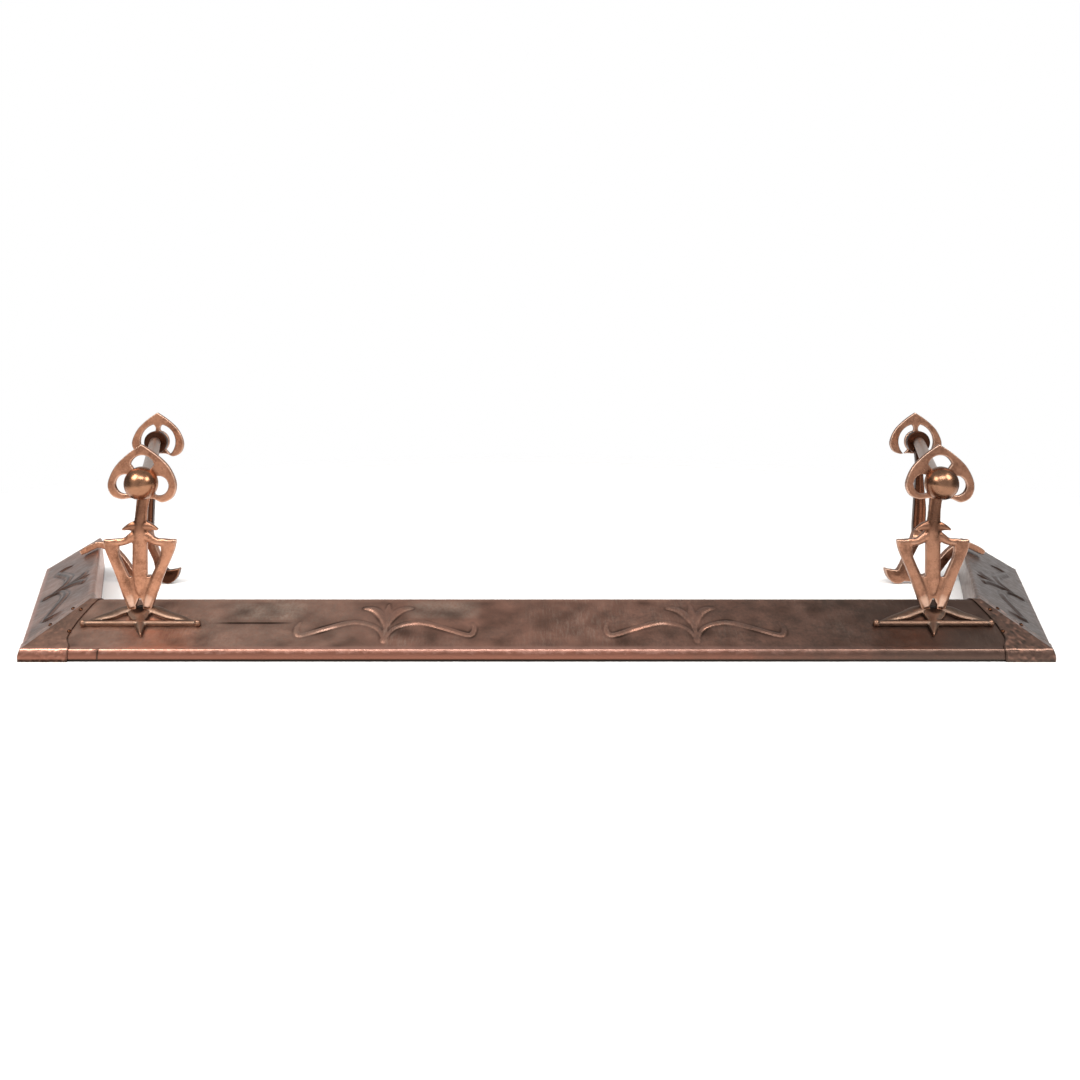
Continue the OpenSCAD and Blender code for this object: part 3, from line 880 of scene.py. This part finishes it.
@dataclass(frozen=True)
class KerbSheet:
    """One folded sheet of the kerb, raised from a flat grid.

    Attributes:
        form: Sizes of the kerb.
        relief: Pattern on the slope.
        run: Run that the sheet follows.
        name: Node that it stands for.
        start: Start along the run, by distance inward.
        end: End along the run, by distance inward.
        centres: Places along the run of the patterns.
        laps: Places along the run where the lip is lapped.
        pale: Dusty fields of the slope.
        crease_shade_lines: Old creases in the slope, given only as painted shade lines.
    """

    SLOPE_STEPS = 50

    form: KerbForm
    relief: Relief
    run: Run
    name: str
    start: Callable[[float], float]
    end: Callable[[float], float]
    centres: Sequence[float]
    laps: Sequence[float] = ()
    pale: Sequence[Field] = ()
    crease_shade_lines: Sequence[Field] = ()

    def columns(self) -> list[float]:
        """Distances along the run at which the sheet has vertices, fine in the patterns.

        Returns:
            The distances in order.
        """
        length = self.end(0)
        reach = self.relief.reach + 24 * MM
        fine = [
            x for c in self.centres
            for x in np.arange(max(c - reach, 0), min(c + reach, length), 1.5 * MM)
        ]
        coarse = [
            x for x in np.arange(0, length, 9 * MM)
            if all(abs(x - c) > reach + 3 * MM for c in self.centres)
        ]
        lapped = [x + d * 0.7 * MM for x in self.laps for d in range(-3, 4)]
        return sorted([*fine, *coarse, *lapped, length])

    def build(self) -> Mesh:
        """Fold a flat grid to the section, beat up its pattern and turn in its flanges.

        Returns:
            The open sheet, still without a thickness.
        """
        form = self.form
        path = form.section(0, form.iron, self.SLOPE_STEPS)
        rear = (path[-1][0] - form.flange, form.iron)
        path = [(path[0][0] + form.flange, form.iron), *path, rear]
        first = LIP_POINTS + 1
        last = first + self.SLOPE_STEPS
        columns = self.columns()
        bm, spots = flat_grid(len(columns) - 1, len(path) - 1)
        flat = []
        for i, j in spots:
            inward = path[j][0]
            share = columns[i] / columns[-1]
            along = self.start(inward) + share * (self.end(inward) - self.start(inward))
            # The pattern keeps square to the run, so it is read at the true place
            flat.append((along, (inward - form.crease_in) / math.cos(form.slope)))
        rise = self.relief.height(np.array(flat), self.centres, form.up)
        values, dust = [], []
        for vert, (i, j), (along, up), lift in zip(bm.verts, spots, flat, rise):
            inward, high = path[j]
            wear_and_painted_light = 0.5
            dust.append(max((f.at(along, up) for f in self.pale), default=0.0))
            crease_shade = max((f.at(along, up) for f in self.crease_shade_lines), default=0.0)
            if first <= j <= last:
                soft = 0.4 * MM * (noise.noise(Vector((along * 22, inward * 30, 0.3))) - 0.9) / 2
                edge = min(1.0, (j - first) / 3, (last - j) / 3)
                # Years of polishing have flattened the crests in places
                rubbed_and_glint = self.relief.polish > 0
                worn = 0.78 + 0.62 * noise.noise(Vector((along * 38, up * 40, 3)))
                lift = (lift * (min(1.0, max(0.42, worn)) if rubbed_and_glint else 1) + soft) * edge
                inward -= lift * math.sin(form.slope)
                high += lift * math.cos(form.slope)
                # The crest colour carries painted highlights that come and go in patches; the
                # crease line is painted shade
                patchy = max(0.0, 0.6 + noise.noise(Vector((along * 45, up * 60, 7))))
                share = rise_share(lift, self.relief) * (patchy if rubbed_and_glint else 1)
                wear_and_painted_light = 0.5 + share - 0.3 * crease_shade
            elif 1 < j < first:
                lap = max((math.exp(-(((along - x) / MM) ** 2)) for x in self.laps), default=0)
                inward += 0.45 * MM * lap
                wear_and_painted_light = 0.5 - 0.5 * lap
            elif last < j < last + 8:
                wear_and_painted_light = 0.6
            values.append(wear_and_painted_light)
            vert.co = self.run.place(along, inward, high)
        write_share(bm, values)
        write_share(bm, dust, "dust")
        face_up(bm)
        return bm

    def dress(self, finishes: Finishes) -> None:
        """Make the piece, give it its thickness and its metal.

        Args:
            finishes: Metals to dress it in.
        """
        piece = finish_piece(self.build(), f"{self.name}_folded", "kerb", [self.name])
        thicken(piece, self.form.sheet)
        finishes.dress(piece, Metal.SHEET)


def rise_share(lift: float, relief: Relief) -> float:
    """Painted highlight or painted shade of a raised place, or how much darker a groove is, as a
    change of wear_and_painted_light.
    """
    return relief.polish * lift / relief.rise if lift > 0 else 0.26 * lift / relief.groove


@dataclass(frozen=True)
class CornerCap:
    """Hammered copper cap folded over a corner, its two halves meeting at the mitre."""

    STEPS = 54
    WALL = 1.1 * MM
    MARK_APART = 6 * MM
    MARK_DEEP = 0.42 * MM
    FRONT_SEAM = (
        (-9, 57), (0, 56.8), (7, 56), (18.2, 49), (38, 50), (57, 55), (76, 63), (100, 88),
    )
    SIDE_SEAM = ((-9, 21), (3, 21), (20, 33.6), (48, 54.3), (76, 75), (88, 83), (100, 91))

    form: KerbForm
    side: Side

    def seam(self, points: Sequence[Point], inward: float) -> float:
        """Length of a half along its run, at a distance in from the edge."""
        us, xs = zip(*spline(points, 8))
        return float(np.interp(inward / MM, us, xs)) * MM

    def half(self, along_front: bool) -> Mesh:
        """Fold one half: a grid between the mitre and the seam, with hammer marks.

        Args:
            along_front: True for the half on the front.

        Returns:
            The open half.
        """
        form = self.form
        run = Run(form, self.side, along_front)
        path = form.section(form.seam + self.WALL, 0.15 * MM, self.STEPS)
        seam = self.FRONT_SEAM if along_front else self.SIDE_SEAM
        wide, deep = 46, len(path) - 1
        bm, spots = flat_grid(wide, deep)
        values = []
        for vert, (i, j) in zip(bm.verts, spots):
            inward, high = path[j]
            mitre = inward * form.per_inward
            along = mitre + (self.seam(seam, inward) - mitre) * i / wide
            spot = run.place(along, inward, high)
            # Hammer marks; none at the seam, the mitre or the floor
            apart = noise.voronoi(spot / self.MARK_APART)[0][0]
            mark = max(0.0, 0.55 - apart) / 0.55
            edge = min(1.0, i / 3, (wide - i) / 2, j / 3, (deep - j) / 3)
            dent = -self.MARK_DEEP * mark * edge
            sloping = j >= LIP_POINTS
            if not sloping:
                inward -= 1.7 * dent
            elif j <= LIP_POINTS + self.STEPS:
                inward -= dent * math.sin(form.slope)
                high += dent * math.cos(form.slope)
            vert.co = run.place(along, inward, high)
            # Pale flecks are painted glints on the hammered facets
            painted_glint = max(0.0, noise.noise(spot * 190) - 0.12)
            base = 0.63 if sloping and self.side is Side.RIGHT else 0.58
            shade = 0.16 * mark * edge + (0.3 if i > wide - 2 else 0.0)
            values.append(base + (0.55 if sloping else 0.3) * painted_glint - shade)
        write_share(bm, values)
        return bm

    def build(self) -> Mesh:
        """Join the two halves along the mitre and face them outward.

        Returns:
            The open cap, still without a thickness.
        """
        bm = self.half(True)
        pour(self.half(False), bm)
        bmesh.ops.remove_doubles(bm, verts=bm.verts, dist=0.02 * MM)
        face_up(bm)
        return bm

    def dress(self, finishes: Finishes) -> None:
        """Make the piece, give it its thickness and its metal.

        Args:
            finishes: Metals to dress it in.
        """
        node = f"{self.side.word}_corner_cap"
        piece = finish_piece(self.build(), f"{node}_hammered", "kerb", [node])
        thicken(piece, self.WALL)
        finishes.dress(piece, Metal.CAP)


@dataclass(frozen=True)
class Kerb:
    """The whole kerb: three sheets and two corner caps."""

    form: KerbForm
    relief: Relief = Relief()
    # On the side sheets the raised lines are darkened with painted shade
    side_relief: Relief = Relief(reach=124 * MM, polish=-0.42, bold=1.6, rise=1.9 * MM)

    def sheets(self) -> list[KerbSheet]:
        """Set out the front sheet and the two side sheets.

        Returns:
            The three sheets.
        """
        form = self.form

        def mitre(inward: float) -> float:
            """Start of a sheet at its mitre."""
            return inward * form.per_inward + form.seam

        def far_mitre(inward: float) -> float:
            """End of the front sheet at its other mitre."""
            return form.front - mitre(inward)

        def rear(inward: float) -> float:
            """End of a side sheet at its oblique rear."""
            return form.side + inward * math.tan(form.end_cut)

        middle = form.front / 2 + form.motif_shift
        made = [
            KerbSheet(
                form, self.relief, Run(form, Side.LEFT, True), "front_kerb_sheet", mitre,
                far_mitre, [middle - form.motif, middle + form.motif], laps=[form.lap],
                pale=[
                    Field(along * MM, up * form.up, long * MM, high * form.up, share)
                    for along, up, long, high, share in (
                        (275, 0.74, 55, 0.22, 1), (206, 0.42, 22, 0.3, 0.6),
                        (488, 0.78, 48, 0.2, 0.75), (170, 0.5, 260, 0.9, 0.4),
                    )
                ],
                # A painted shade line along an old crease
                crease_shade_lines=[Field(262 * MM, 0.5 * form.up, 48 * MM, 1.4 * MM, 1)],
            )
        ]
        for side in Side:
            made.append(
                KerbSheet(
                    form, self.side_relief, Run(form, side, False), f"{side.word}_kerb_sheet",
                    mitre, rear, [form.side / 2],
                )
            )
        return made

    def dress(self, finishes: Finishes) -> None:
        """Make every piece of the kerb.

        Args:
            finishes: Metals to dress it in.
        """
        for sheet in self.sheets():
            sheet.dress(finishes)
        for side in Side:
            CornerCap(self.form, side).dress(finishes)


# ---- castings of the rests ----


@dataclass(frozen=True)
class Plane:
    """A drawing plane of a rest, from the drawing's across and up to the row frame.

    Attributes:
        origin: Place of the drawing's origin, from the kerb's front edge and the standard.
        tilt: Turn of the drawing about X, which is 90 degrees for an upright one.
    """

    origin: tuple[float, float, float]
    tilt: float

    def spot(self, across: float, up: float, out: float) -> tuple[float, float, float]:
        """Point at a place in the drawing and a distance out of it.

        Args:
            across: Distance across the drawing.
            up: Distance up the drawing.
            out: Distance out of the drawing.

        Returns:
            Place from the kerb's front edge and the standard.
        """
        sin, cos = math.sin(self.tilt), math.cos(self.tilt)
        return (
            self.origin[0] + across,
            self.origin[1] + up * cos - out * sin,
            self.origin[2] + up * sin + out * cos,
        )


@dataclass(frozen=True)
class Casting:
    """A casting: a copy of its node and crowned bars along its lines, fused and softened.

    Attributes:
        rest: Rest that it belongs to.
        part: Name of its node without the side.
        metal: Metal that it is cast in.
        grain: Size of the mesh that fuses it.
        passes: How often its surface is smoothed.
        shade_and_tarnish_bands: Bands that rubbing doesn't reach, darkened with tarnish and with
            painted shade: from and to a height, and how dark.
        marks: Dark spots, or bright ones below zero; in notches the dark ones are painted shade
            and the bright ones painted highlights: across, depth and height of the middle,
            radius, and how dark.
        bm: Mesh that gathers what is added.
    """

    rest: "Rest"
    part: str
    metal: Metal = Metal.CAST
    grain: float = 0.8 * MM
    passes: int = 4
    shade_and_tarnish_bands: Sequence[tuple[float, float, float]] = ()
    marks: Sequence[tuple[float, float, float, float, float]] = ()
    bm: Mesh = field(default_factory=bmesh.new)

    def add_copy(self, middle: float | None = None, keep: float = 1.0) -> None:
        """Add the node's own mesh, thinned towards a depth.

        Args:
            middle: Depth in the row frame that the copy is thinned towards.
            keep: Share of its thickness that stays.
        """
        node = frame["nodes"][f"{self.rest.side.word}_{self.part}"]
        copy = bmesh.new()
        copy.from_mesh(node.data)
        bmesh.ops.remove_doubles(copy, verts=copy.verts, dist=0.002 * MM)
        if middle is not None:
            for vert in copy.verts:
                vert.co.y = middle + (vert.co.y - middle) * keep
        pour(copy, self.bm)

    def add_bar(
        self, plane: Plane, line: Sequence[Sequence[float]], steps: int = 5, flat: float = 2.6
    ) -> None:
        """Add a crowned bar along a smooth line.

        Args:
            plane: Drawing plane.
            line: Stations of across, up, width and thickness.
            steps: Samples between two stations.
            flat: How square the bar's section is, where 2 is an oval.
        """
        stations = spline(line, steps)
        last, ring = len(stations) - 1, 20
        bm, spots = flat_grid(last, ring)
        for vert, (i, j) in zip(bm.verts, spots):
            across, up, width, thickness = stations[i]
            a, b = stations[max(i - 1, 0)], stations[min(i + 1, last)]
            run = Vector((b[0] - a[0], b[1] - a[1])).normalized()
            angle = math.tau * j / ring
            cos, sin = math.cos(angle), math.sin(angle)
            wide = 0.5 * width * math.copysign(abs(cos) ** (2 / flat), cos)
            deep = 0.5 * thickness * math.copysign(abs(sin) ** (2 / flat), sin)
            spot = plane.spot(
                (across - wide * run.y) * MM, (up + wide * run.x) * MM, deep * MM
            )
            vert.co = self.rest.place(*spot)
        bmesh.ops.remove_doubles(bm, verts=bm.verts, dist=0.01 * MM)
        bmesh.ops.holes_fill(bm, edges=[e for e in bm.edges if e.is_boundary], sides=0)
        bmesh.ops.recalc_face_normals(bm, faces=bm.faces)
        pour(bm, self.bm)

    def add_ball(self, spot: tuple[float, float, float], radius: float) -> None:
        """Add a small ball, such as a knob at a bar's end.

        Args:
            spot: Place of its middle from the kerb's front edge and the standard.
            radius: Its radius.
        """
        bm = bmesh.new()
        bmesh.ops.create_uvsphere(bm, u_segments=20, v_segments=12, radius=radius)
        bmesh.ops.translate(bm, verts=bm.verts, vec=self.rest.place(*spot))
        pour(bm, self.bm)

    def fuse(self) -> Mesh:
        """Fuse all that was added to one skin and soften it, as sand casting does.

        Returns:
            The fused mesh.
        """
        mesh = bpy.data.meshes.new("rough")
        self.bm.to_mesh(mesh)
        self.bm.free()
        rough = add_object("rough", mesh)
        skin = rough.modifiers.new("skin", "REMESH")
        skin.mode = "VOXEL"
        skin.voxel_size = self.grain
        graph = bpy.context.evaluated_depsgraph_get()
        fused = bpy.data.meshes.new_from_object(rough.evaluated_get(graph))
        bpy.data.objects.remove(rough)
        bpy.data.meshes.remove(mesh)
        bm = bmesh.new()
        bm.from_mesh(fused)
        bpy.data.meshes.remove(fused)
        for _ in range(self.passes):
            bmesh.ops.smooth_vert(
                bm, verts=bm.verts, factor=0.5, use_axis_x=True, use_axis_y=True,
                use_axis_z=True,
            )
        bm.normal_update()
        bm.verts.index_update()
        return bm

    def dress(self, finishes: Finishes) -> None:
        """Fuse the casting, mark its worn crests and hollows, its painted shade and painted
        highlights, and give it its metal.

        Args:
            finishes: Metals to dress it in.
        """
        bm = self.fuse()
        wear_and_painted_light = wear_from_curvature(bm, 2.2 * MM, 1.0)
        # Bands and spots of painted shade, with tarnish in the bands, and spots of painted
        # highlight
        for low, high, dark in self.shade_and_tarnish_bands:
            middle, reach = (low + high) / 2, (high - low) / 2
            for i, vert in enumerate(bm.verts):
                away = abs(vert.co.z - middle) / reach
                wear_and_painted_light[i] -= dark * max(0.0, 1 - away**8)
        for *spot, radius, dark in self.marks:
            centre = self.rest.place(*(c * MM for c in spot))
            for i, vert in enumerate(bm.verts):
                away = (vert.co - centre).length / (radius * MM)
                wear_and_painted_light[i] -= dark * max(0.0, 1 - away * away)
        write_share(bm, [min(1.0, max(0.0, w)) for w in wear_and_painted_light])
        node = f"{self.rest.side.word}_{self.part}"
        piece = finish_piece(bm, f"{node}_cast", f"{self.rest.side.word}_rest", [node])
        finishes.dress(piece, self.metal)


@dataclass(frozen=True)
class RestForm:
    """Sizes of a rest in millimetres, as the frame has them, from the kerb's front edge."""

    out: float = 482.0
    nearer: float = 2.4
    leg_from: float = -125.5
    front_sway: float = 5.5
    rear_sway: float = 9.0
    rail_z: float = 199.5
    plate_y: float = 56.0
    ball_y: float = 45.0
    ball_d: float = 40.2
    head_face: float = 46.0
    leg_in: float = 341.0
    knee_z: float = 72.0
    eye_y: float = 435.2
    bar_in: float = 37.5
    bar_t: float = 5.8
    foot_reach: float = 68.5
    seat: float = 0.3
    star_lean: float = 0.35


@dataclass(frozen=True)
class Rest:
    """One of the two loose rests for the fire irons."""

    form: RestForm
    kerb: KerbForm
    side: Side

    def place(self, x: float, y: float, z: float) -> Vector:
        """Row frame point of a drawing point, in metres from the standard's middle."""
        out = (self.form.out - self.form.nearer * (self.side is Side.LEFT)) * MM
        return Vector(((x - out) * self.side.value, y - self.kerb.middle, z))

    def row_y(self, depth_mm: float) -> float:
        """Row frame depth of a distance behind the kerb's front edge."""
        return depth_mm * MM - self.kerb.middle

    def standard(self) -> Casting:
        """Front standard: a raised stem between two swelling arms, with links and leaves.

        Returns:
            The casting, ready to dress.
        """
        form, side = self.form, self.side.value
        # Painted shade and tarnish in a band under the head, painted shadow in the notch at the
        # foot, and painted highlights beside it
        cast = Casting(
            self, "front_standard", shade_and_tarnish_bands=[(137 * MM, 186 * MM, 0.24)],
            marks=[
                (0, form.plate_y, 44, 7, 0.5), (-10, form.plate_y - 4, 55, 10, -0.2),
                (10, form.plate_y - 4, 55, 10, -0.2),
            ],
        )
        cast.add_copy(self.row_y(form.plate_y), 0.72)
        plane = Plane((0, form.plate_y * MM, 0), math.pi / 2)
        sway = side * form.front_sway
        cast.add_bar(plane, [
            (sway, 182, 13.6, 7.6), (sway / 3, 163, 13.6, 8.6), (0, 146, 15, 11),
            (0, 130, 17, 12.4), (0, 100, 18, 12.4), (0, 82, 17, 12), (0, 68, 12, 9.6),
            (0, 61, 6, 6),
        ], flat=2.1)
        for s in (-1, 1):
            cast.add_bar(plane, mirrored(s, [
                (8.5, 48, 9, 8.4), (13, 62, 13.4, 9.2), (19, 79, 13.4, 9.2), (26, 96, 12.6, 9),
                (31, 108, 13, 9), (34, 120, 16.4, 9), (35, 129, 17.6, 8.6),
            ]), flat=2.7)
            cast.add_bar(plane, mirrored(s, [
                (42, 126, 7.6, 8), (30, 125.7, 8.6, 8.4), (18, 127.6, 8.8, 8.8),
                (8, 133.4, 11, 9.4), (0, 136, 12, 9.4),
            ]), flat=2.4)
            cast.add_bar(plane, mirrored(s, [
                (2, 146, 13.6, 10), (12, 145.2, 9, 8.6), (21.8, 141.4, 2.4, 4.6),
            ]), flat=2.2)
        return cast

    def heads(self) -> list[Casting]:
        """The two openwork heads, their flat bands softened at the edges.

        Returns:
            The castings, ready to dress.
        """
        made = []
        for part in ("front_head", "rear_head"):
            cast = Casting(self, part, grain=0.75 * MM, passes=5)
            cast.add_copy()
            made.append(cast)
        return made

    def star(self) -> Casting:
        """Star foot: a round bar with knobs, a tongue, and struts up to the standard.

        Returns:
            The casting, ready to dress.
        """
        form, slope = self.form, self.kerb.slope
        rise = form.seat + form.bar_t / 2
        plane = Plane(
            (0, (form.bar_in - rise * math.sin(slope)) * MM,
             self.kerb.face_z(form.bar_in * MM) + rise * math.cos(slope) * MM), slope,
        )
        up = (form.plate_y - form.bar_in) / math.cos(slope)
        lean = form.star_lean
        bar_x = lean * up

        def leant(points: Sequence[Sequence[float]]) -> list[Sequence[float]]:
            """Lean stations over, the more the further they lie from the standard."""
            return [(x + lean * (up - y), y, w, t) for x, y, w, t in points]

        # The notch where the standard meets the star is darkened with painted shadow
        cast = Casting(
            self, "star_foot", Metal.DULL_CAST, grain=0.7 * MM,
            marks=[(0, form.plate_y, self.kerb.face_z(form.plate_y * MM) / MM, 12, 0.8)],
        )
        cast.add_copy()
        reach = form.foot_reach
        cast.add_bar(plane, [
            (bar_x - reach, 0, 4.8, 4.8), (bar_x, 0, 5.8, 5.6), (bar_x + reach, 0, 4.8, 4.8),
        ], steps=8, flat=2)
        cast.add_bar(plane, leant([
            (0, up + 4, 24, 4.6), (0, up - 4, 25, 5.4), (0, 3, 12, 5.6), (0, -4, 11, 5.6),
            (0, -11, 6.4, 5.2), (0, -19, 2.2, 4),
        ]), flat=2.2)
        for s in (-1, 1):
            cast.add_bar(plane, leant(mirrored(s, [
                (reach - 7, 1, 4.4, 4.2), (48, 7.5, 8.2, 4.8), (34, 13, 11, 5.2),
                (22, 20, 12, 5.2), (10, up + 3, 10, 5),
            ])), flat=2.4)
            end = plane.spot((bar_x + s * reach) * MM, 0, 0.5 * MM)
            cast.add_ball(end, 3.6 * MM)
        return cast

    def leg(self) -> Casting:
        """Rear leg: a raked stem, a foot that ends in a leaf, and a finger over the kerb.

        Returns:
            The casting, ready to dress.
        """
        form, side = self.form, self.side.value
        rake = math.atan2(form.eye_y - form.leg_in, form.rail_z - form.knee_z)
        knee = (form.leg_from * MM, form.leg_in * MM, form.knee_z * MM)
        stem, foot = Plane(knee, math.pi / 2 - rake), Plane(knee, math.pi / 2)

        def swayed(points: Sequence[Sequence[float]], turn: float) -> list[tuple[float, ...]]:
            """Sway stations with the head and lay their heights out along a plane.

            Args:
                points: Stations of across, height, width and thickness.
                turn: Rake of the plane.

            Returns:
                Stations in the plane.
            """
            bend = side * form.rear_sway / (form.rail_z - form.knee_z)
            return [
                (x + bend * max(0.0, z - form.knee_z), (z - form.knee_z) / math.cos(turn), w, t)
                for x, z, w, t in points
            ]

        # The stem is darkened with painted shade; the left rest's leaf foot is darker in one
        # spot
        cast = Casting(
            self, "rear_leg", grain=0.85 * MM, passes=5,
            shade_and_tarnish_bands=[(76 * MM, 240 * MM, 0.8)],
            marks=[(form.leg_from + 62, form.leg_in, 14, 34, 0.5)] * (self.side is Side.LEFT),
        )
        cast.add_copy()
        cast.add_bar(stem, swayed([
            (4.5, 176, 8.6, 11.4), (9.5, 150, 11, 12.4), (14.5, 127, 14.2, 12.6),
            (19, 106, 17, 12.6), (25.5, 84, 17, 12.4), (30, 70, 14.6, 12),
        ], rake), flat=2.2)
        cast.add_bar(foot, swayed([
            (28, 80, 15, 12), (33, 66, 13.6, 12.4), (40, 50, 11.2, 12.2), (46, 36, 11.2, 12.2),
            (50, 24, 14, 12.4), (55, 14, 17, 12.6), (63, 12, 18, 12.6), (72, 17, 12, 11),
            (77, 21, 4, 8),
        ], 0), flat=2.3)
        cast.add_bar(foot, swayed([
            (40, 8.5, 8, 11.4), (24, 8.6, 8.4, 11.6), (12, 11.4, 9.4, 11.8), (3, 20.4, 10.8, 12),
            (-6, 32.4, 11.4, 12), (-15, 43.2, 11, 12), (-25, 53.2, 9.6, 11.8),
            (-36, 58.6, 8, 11.4), (-44, 58.8, 8, 11.4), (-53, 55.2, 8.6, 11.6),
            (-61, 51.2, 8.6, 11.6), (-67, 47.6, 7, 10),
        ], 0), flat=2.2)
        return cast

    def ball(self) -> Mesh:
        """Ball of the front stud, cut flat where it sits on the head.

        Returns:
            The closed mesh of the ball.
        """
        form = self.form
        sway = self.side.value * form.front_sway
        centre = self.place(sway * MM, form.ball_y * MM, form.rail_z * MM)
        face = (0, self.row_y(form.head_face), 0)
        bm = bmesh.new()
        bmesh.ops.create_uvsphere(bm, u_segments=96, v_segments=64, radius=form.ball_d / 2 * MM)
        upright = Matrix.Rotation(math.pi / 2, 3, "X")
        bmesh.ops.rotate(bm, verts=bm.verts, cent=(0, 0, 0), matrix=upright)
        bmesh.ops.translate(bm, verts=bm.verts, vec=centre)
        cut = bmesh.ops.bisect_plane(
            bm, geom=[*bm.verts, *bm.edges, *bm.faces], plane_co=face, plane_no=(0, 1, 0),
            clear_outer=True,
        )["geom_cut"]
        rim = [e for e in cut if isinstance(e, bmesh.types.BMEdge)]
        bmesh.ops.holes_fill(bm, edges=rim, sides=0)
        bmesh.ops.recalc_face_normals(bm, faces=bm.faces)
        write_share(bm, [0.5] * len(bm.verts))
        return bm

    def dress(self, finishes: Finishes) -> None:
        """Make every casting and the ball of this rest.

        Args:
            finishes: Metals to dress it in.
        """
        for cast in (self.standard(), *self.heads(), self.star(), self.leg()):
            cast.dress(finishes)
        node = f"{self.side.word}_front_ball"
        piece = finish_piece(self.ball(), f"{node}_polished", f"{self.side.word}_rest", [node])
        finishes.dress(piece, Metal.BRIGHT)


# ---- studio ----


@dataclass(frozen=True)
class Softbox:
    """A soft lamp: its name, place, size, power and tone."""

    name: str
    place: tuple[float, float, float]
    size: tuple[float, float]
    watts: float
    tone: str = "#ffffff"


@dataclass(frozen=True)
class Studio:
    """Pale floor, white surround, soft lamps and the photographer's view."""

    eye: tuple[float, float, float] = (-0.025, -1.384275, 0.4005)
    lens: float = 33.333
    shift: tuple[float, float] = (0.02324, -0.2074)
    glow: float = 0.75
    horizon: float = 0.8
    zenith: float = 0.54
    flank: float = 0.24
    boxes: tuple[Softbox, ...] = (
        Softbox("left_softbox", (-1.5, -1.3, 1.7), (1.0, 1.0), 42.0, "#fff6ec"),
        Softbox("right_softbox", (1.5, -1.2, 1.6), (0.9, 0.9), 30.0, "#fff6ec"),
        Softbox("front_softbox", (0.0, -2.1, 2.3), (1.8, 0.7), 40.0),
    )

    def floor(self) -> None:
        """Lay a large pale floor that isn't part of the fender."""
        bm = bmesh.new()
        bmesh.ops.create_grid(bm, x_segments=8, y_segments=8, size=9)
        mesh = bpy.data.meshes.new("studio_floor")
        bm.to_mesh(mesh)
        bm.free()
        ground = add_object("studio_floor", mesh)
        paper = bpy.data.materials.new("pale_paper")
        graph = Graph(paper)
        shader = graph.tree.nodes["Principled BSDF"]
        place = graph.add("TexCoord").outputs["Object"]
        mottle = graph.add("TexNoise", Vector=place, Scale=3.0, Detail=2.0).outputs["Fac"]
        tone = graph.mix(mottle, srgb("#f4f4f4"), srgb("#f7f7f7"))
        graph.link(tone, shader.inputs["Base Color"])
        shader.inputs["Roughness"].default_value = 0.9
        # The paper fades into the white surround a step away from the fender
        away = graph.add("VectorMath", operation="LENGTH", in_0=place).outputs["Value"]
        clear = graph.add("BsdfTransparent").outputs[0]
        mixed = graph.mix_shaders(graph.spread(away, 0.85, 1.5), shader.outputs[0], clear)
        graph.link(mixed, graph.tree.nodes["Material Output"].inputs[0])
        mesh.materials.append(paper)
        ground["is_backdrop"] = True

    def surround(self) -> None:
        """White to the camera, softer grey as a source of light."""
        world = bpy.data.worlds.new("surround")
        bpy.context.scene.world = world
        graph = Graph(world)
        graph.tree.nodes.clear()
        path = graph.add("LightPath").outputs
        # Metal sees a bright horizon under a darker ceiling; everything else an even glow
        ray = graph.add("TexCoord").outputs["Generated"]
        split = graph.add("SeparateXYZ", Vector=ray).outputs
        ceiling = graph.spread(split["Z"], 0.05, 0.65, self.horizon, self.zenith)
        walls = graph.spread(graph.math("ABSOLUTE", split["X"]), 0.64, 0.9, 1.0, self.flank)
        level = graph.add(
            "Mix", data_type="FLOAT", in_0=path["Is Glossy Ray"], in_2=self.glow,
            in_3=graph.math("MULTIPLY", ceiling, walls),
        ).outputs[0]
        white, soft = (
            graph.add("Background", Color=(1, 1, 1, 1), Strength=strength).outputs[0]
            for strength in (1.0, level)
        )
        mixed = graph.mix_shaders(path["Is Camera Ray"], soft, white)
        graph.add("OutputWorld", Surface=mixed)

    def lamps(self) -> None:
        """Hang the soft lamps, all aimed at the fender."""
        for box in self.boxes:
            lamp = bpy.data.lights.new(box.name, "AREA")
            lamp.shape = "RECTANGLE"
            lamp.size, lamp.size_y = box.size
            lamp.energy = box.watts
            lamp.color = srgb(box.tone)[:3]
            holder = add_object(box.name, lamp)
            holder.location = box.place
            aim = Vector((0, 0, 0.05)) - Vector(box.place)
            holder.rotation_euler = aim.to_track_quat("-Z", "Y").to_euler()

    def camera(self) -> None:
        """Set the camera where the photograph was taken from."""
        lens = bpy.data.cameras.new("view")
        lens.sensor_width = 36
        lens.lens = self.lens
        lens.shift_x, lens.shift_y = self.shift
        lens.clip_start, lens.clip_end = 0.05, 30
        eye = add_object("view", lens)
        eye.location = self.eye
        eye.rotation_euler = (math.pi / 2, 0, 0)
        bpy.context.scene.camera = eye

    def build(self) -> None:
        """Set the whole studio up."""
        self.floor()
        self.surround()
        self.lamps()
        self.camera()
        bpy.context.scene.view_settings.view_transform = "Standard"


def main() -> None:
    """Build the fender's looks on the frame and note its box before and after."""
    finishes = Finishes()
    kerb = KerbForm()
    Kerb(kerb).dress(finishes)
    for side in Side:
        Rest(RestForm(), kerb, side).dress(finishes)
    finishes.dress_carried()
    Studio().build()
    boxes = {"before": BOX_AT_LOAD, "after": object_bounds()}
    for key, (low, high) in boxes.items():
        log.info("%s: %s", key, [round(h - l, 5) for l, h in zip(low, high)])


if __name__ == "__main__":
    main()
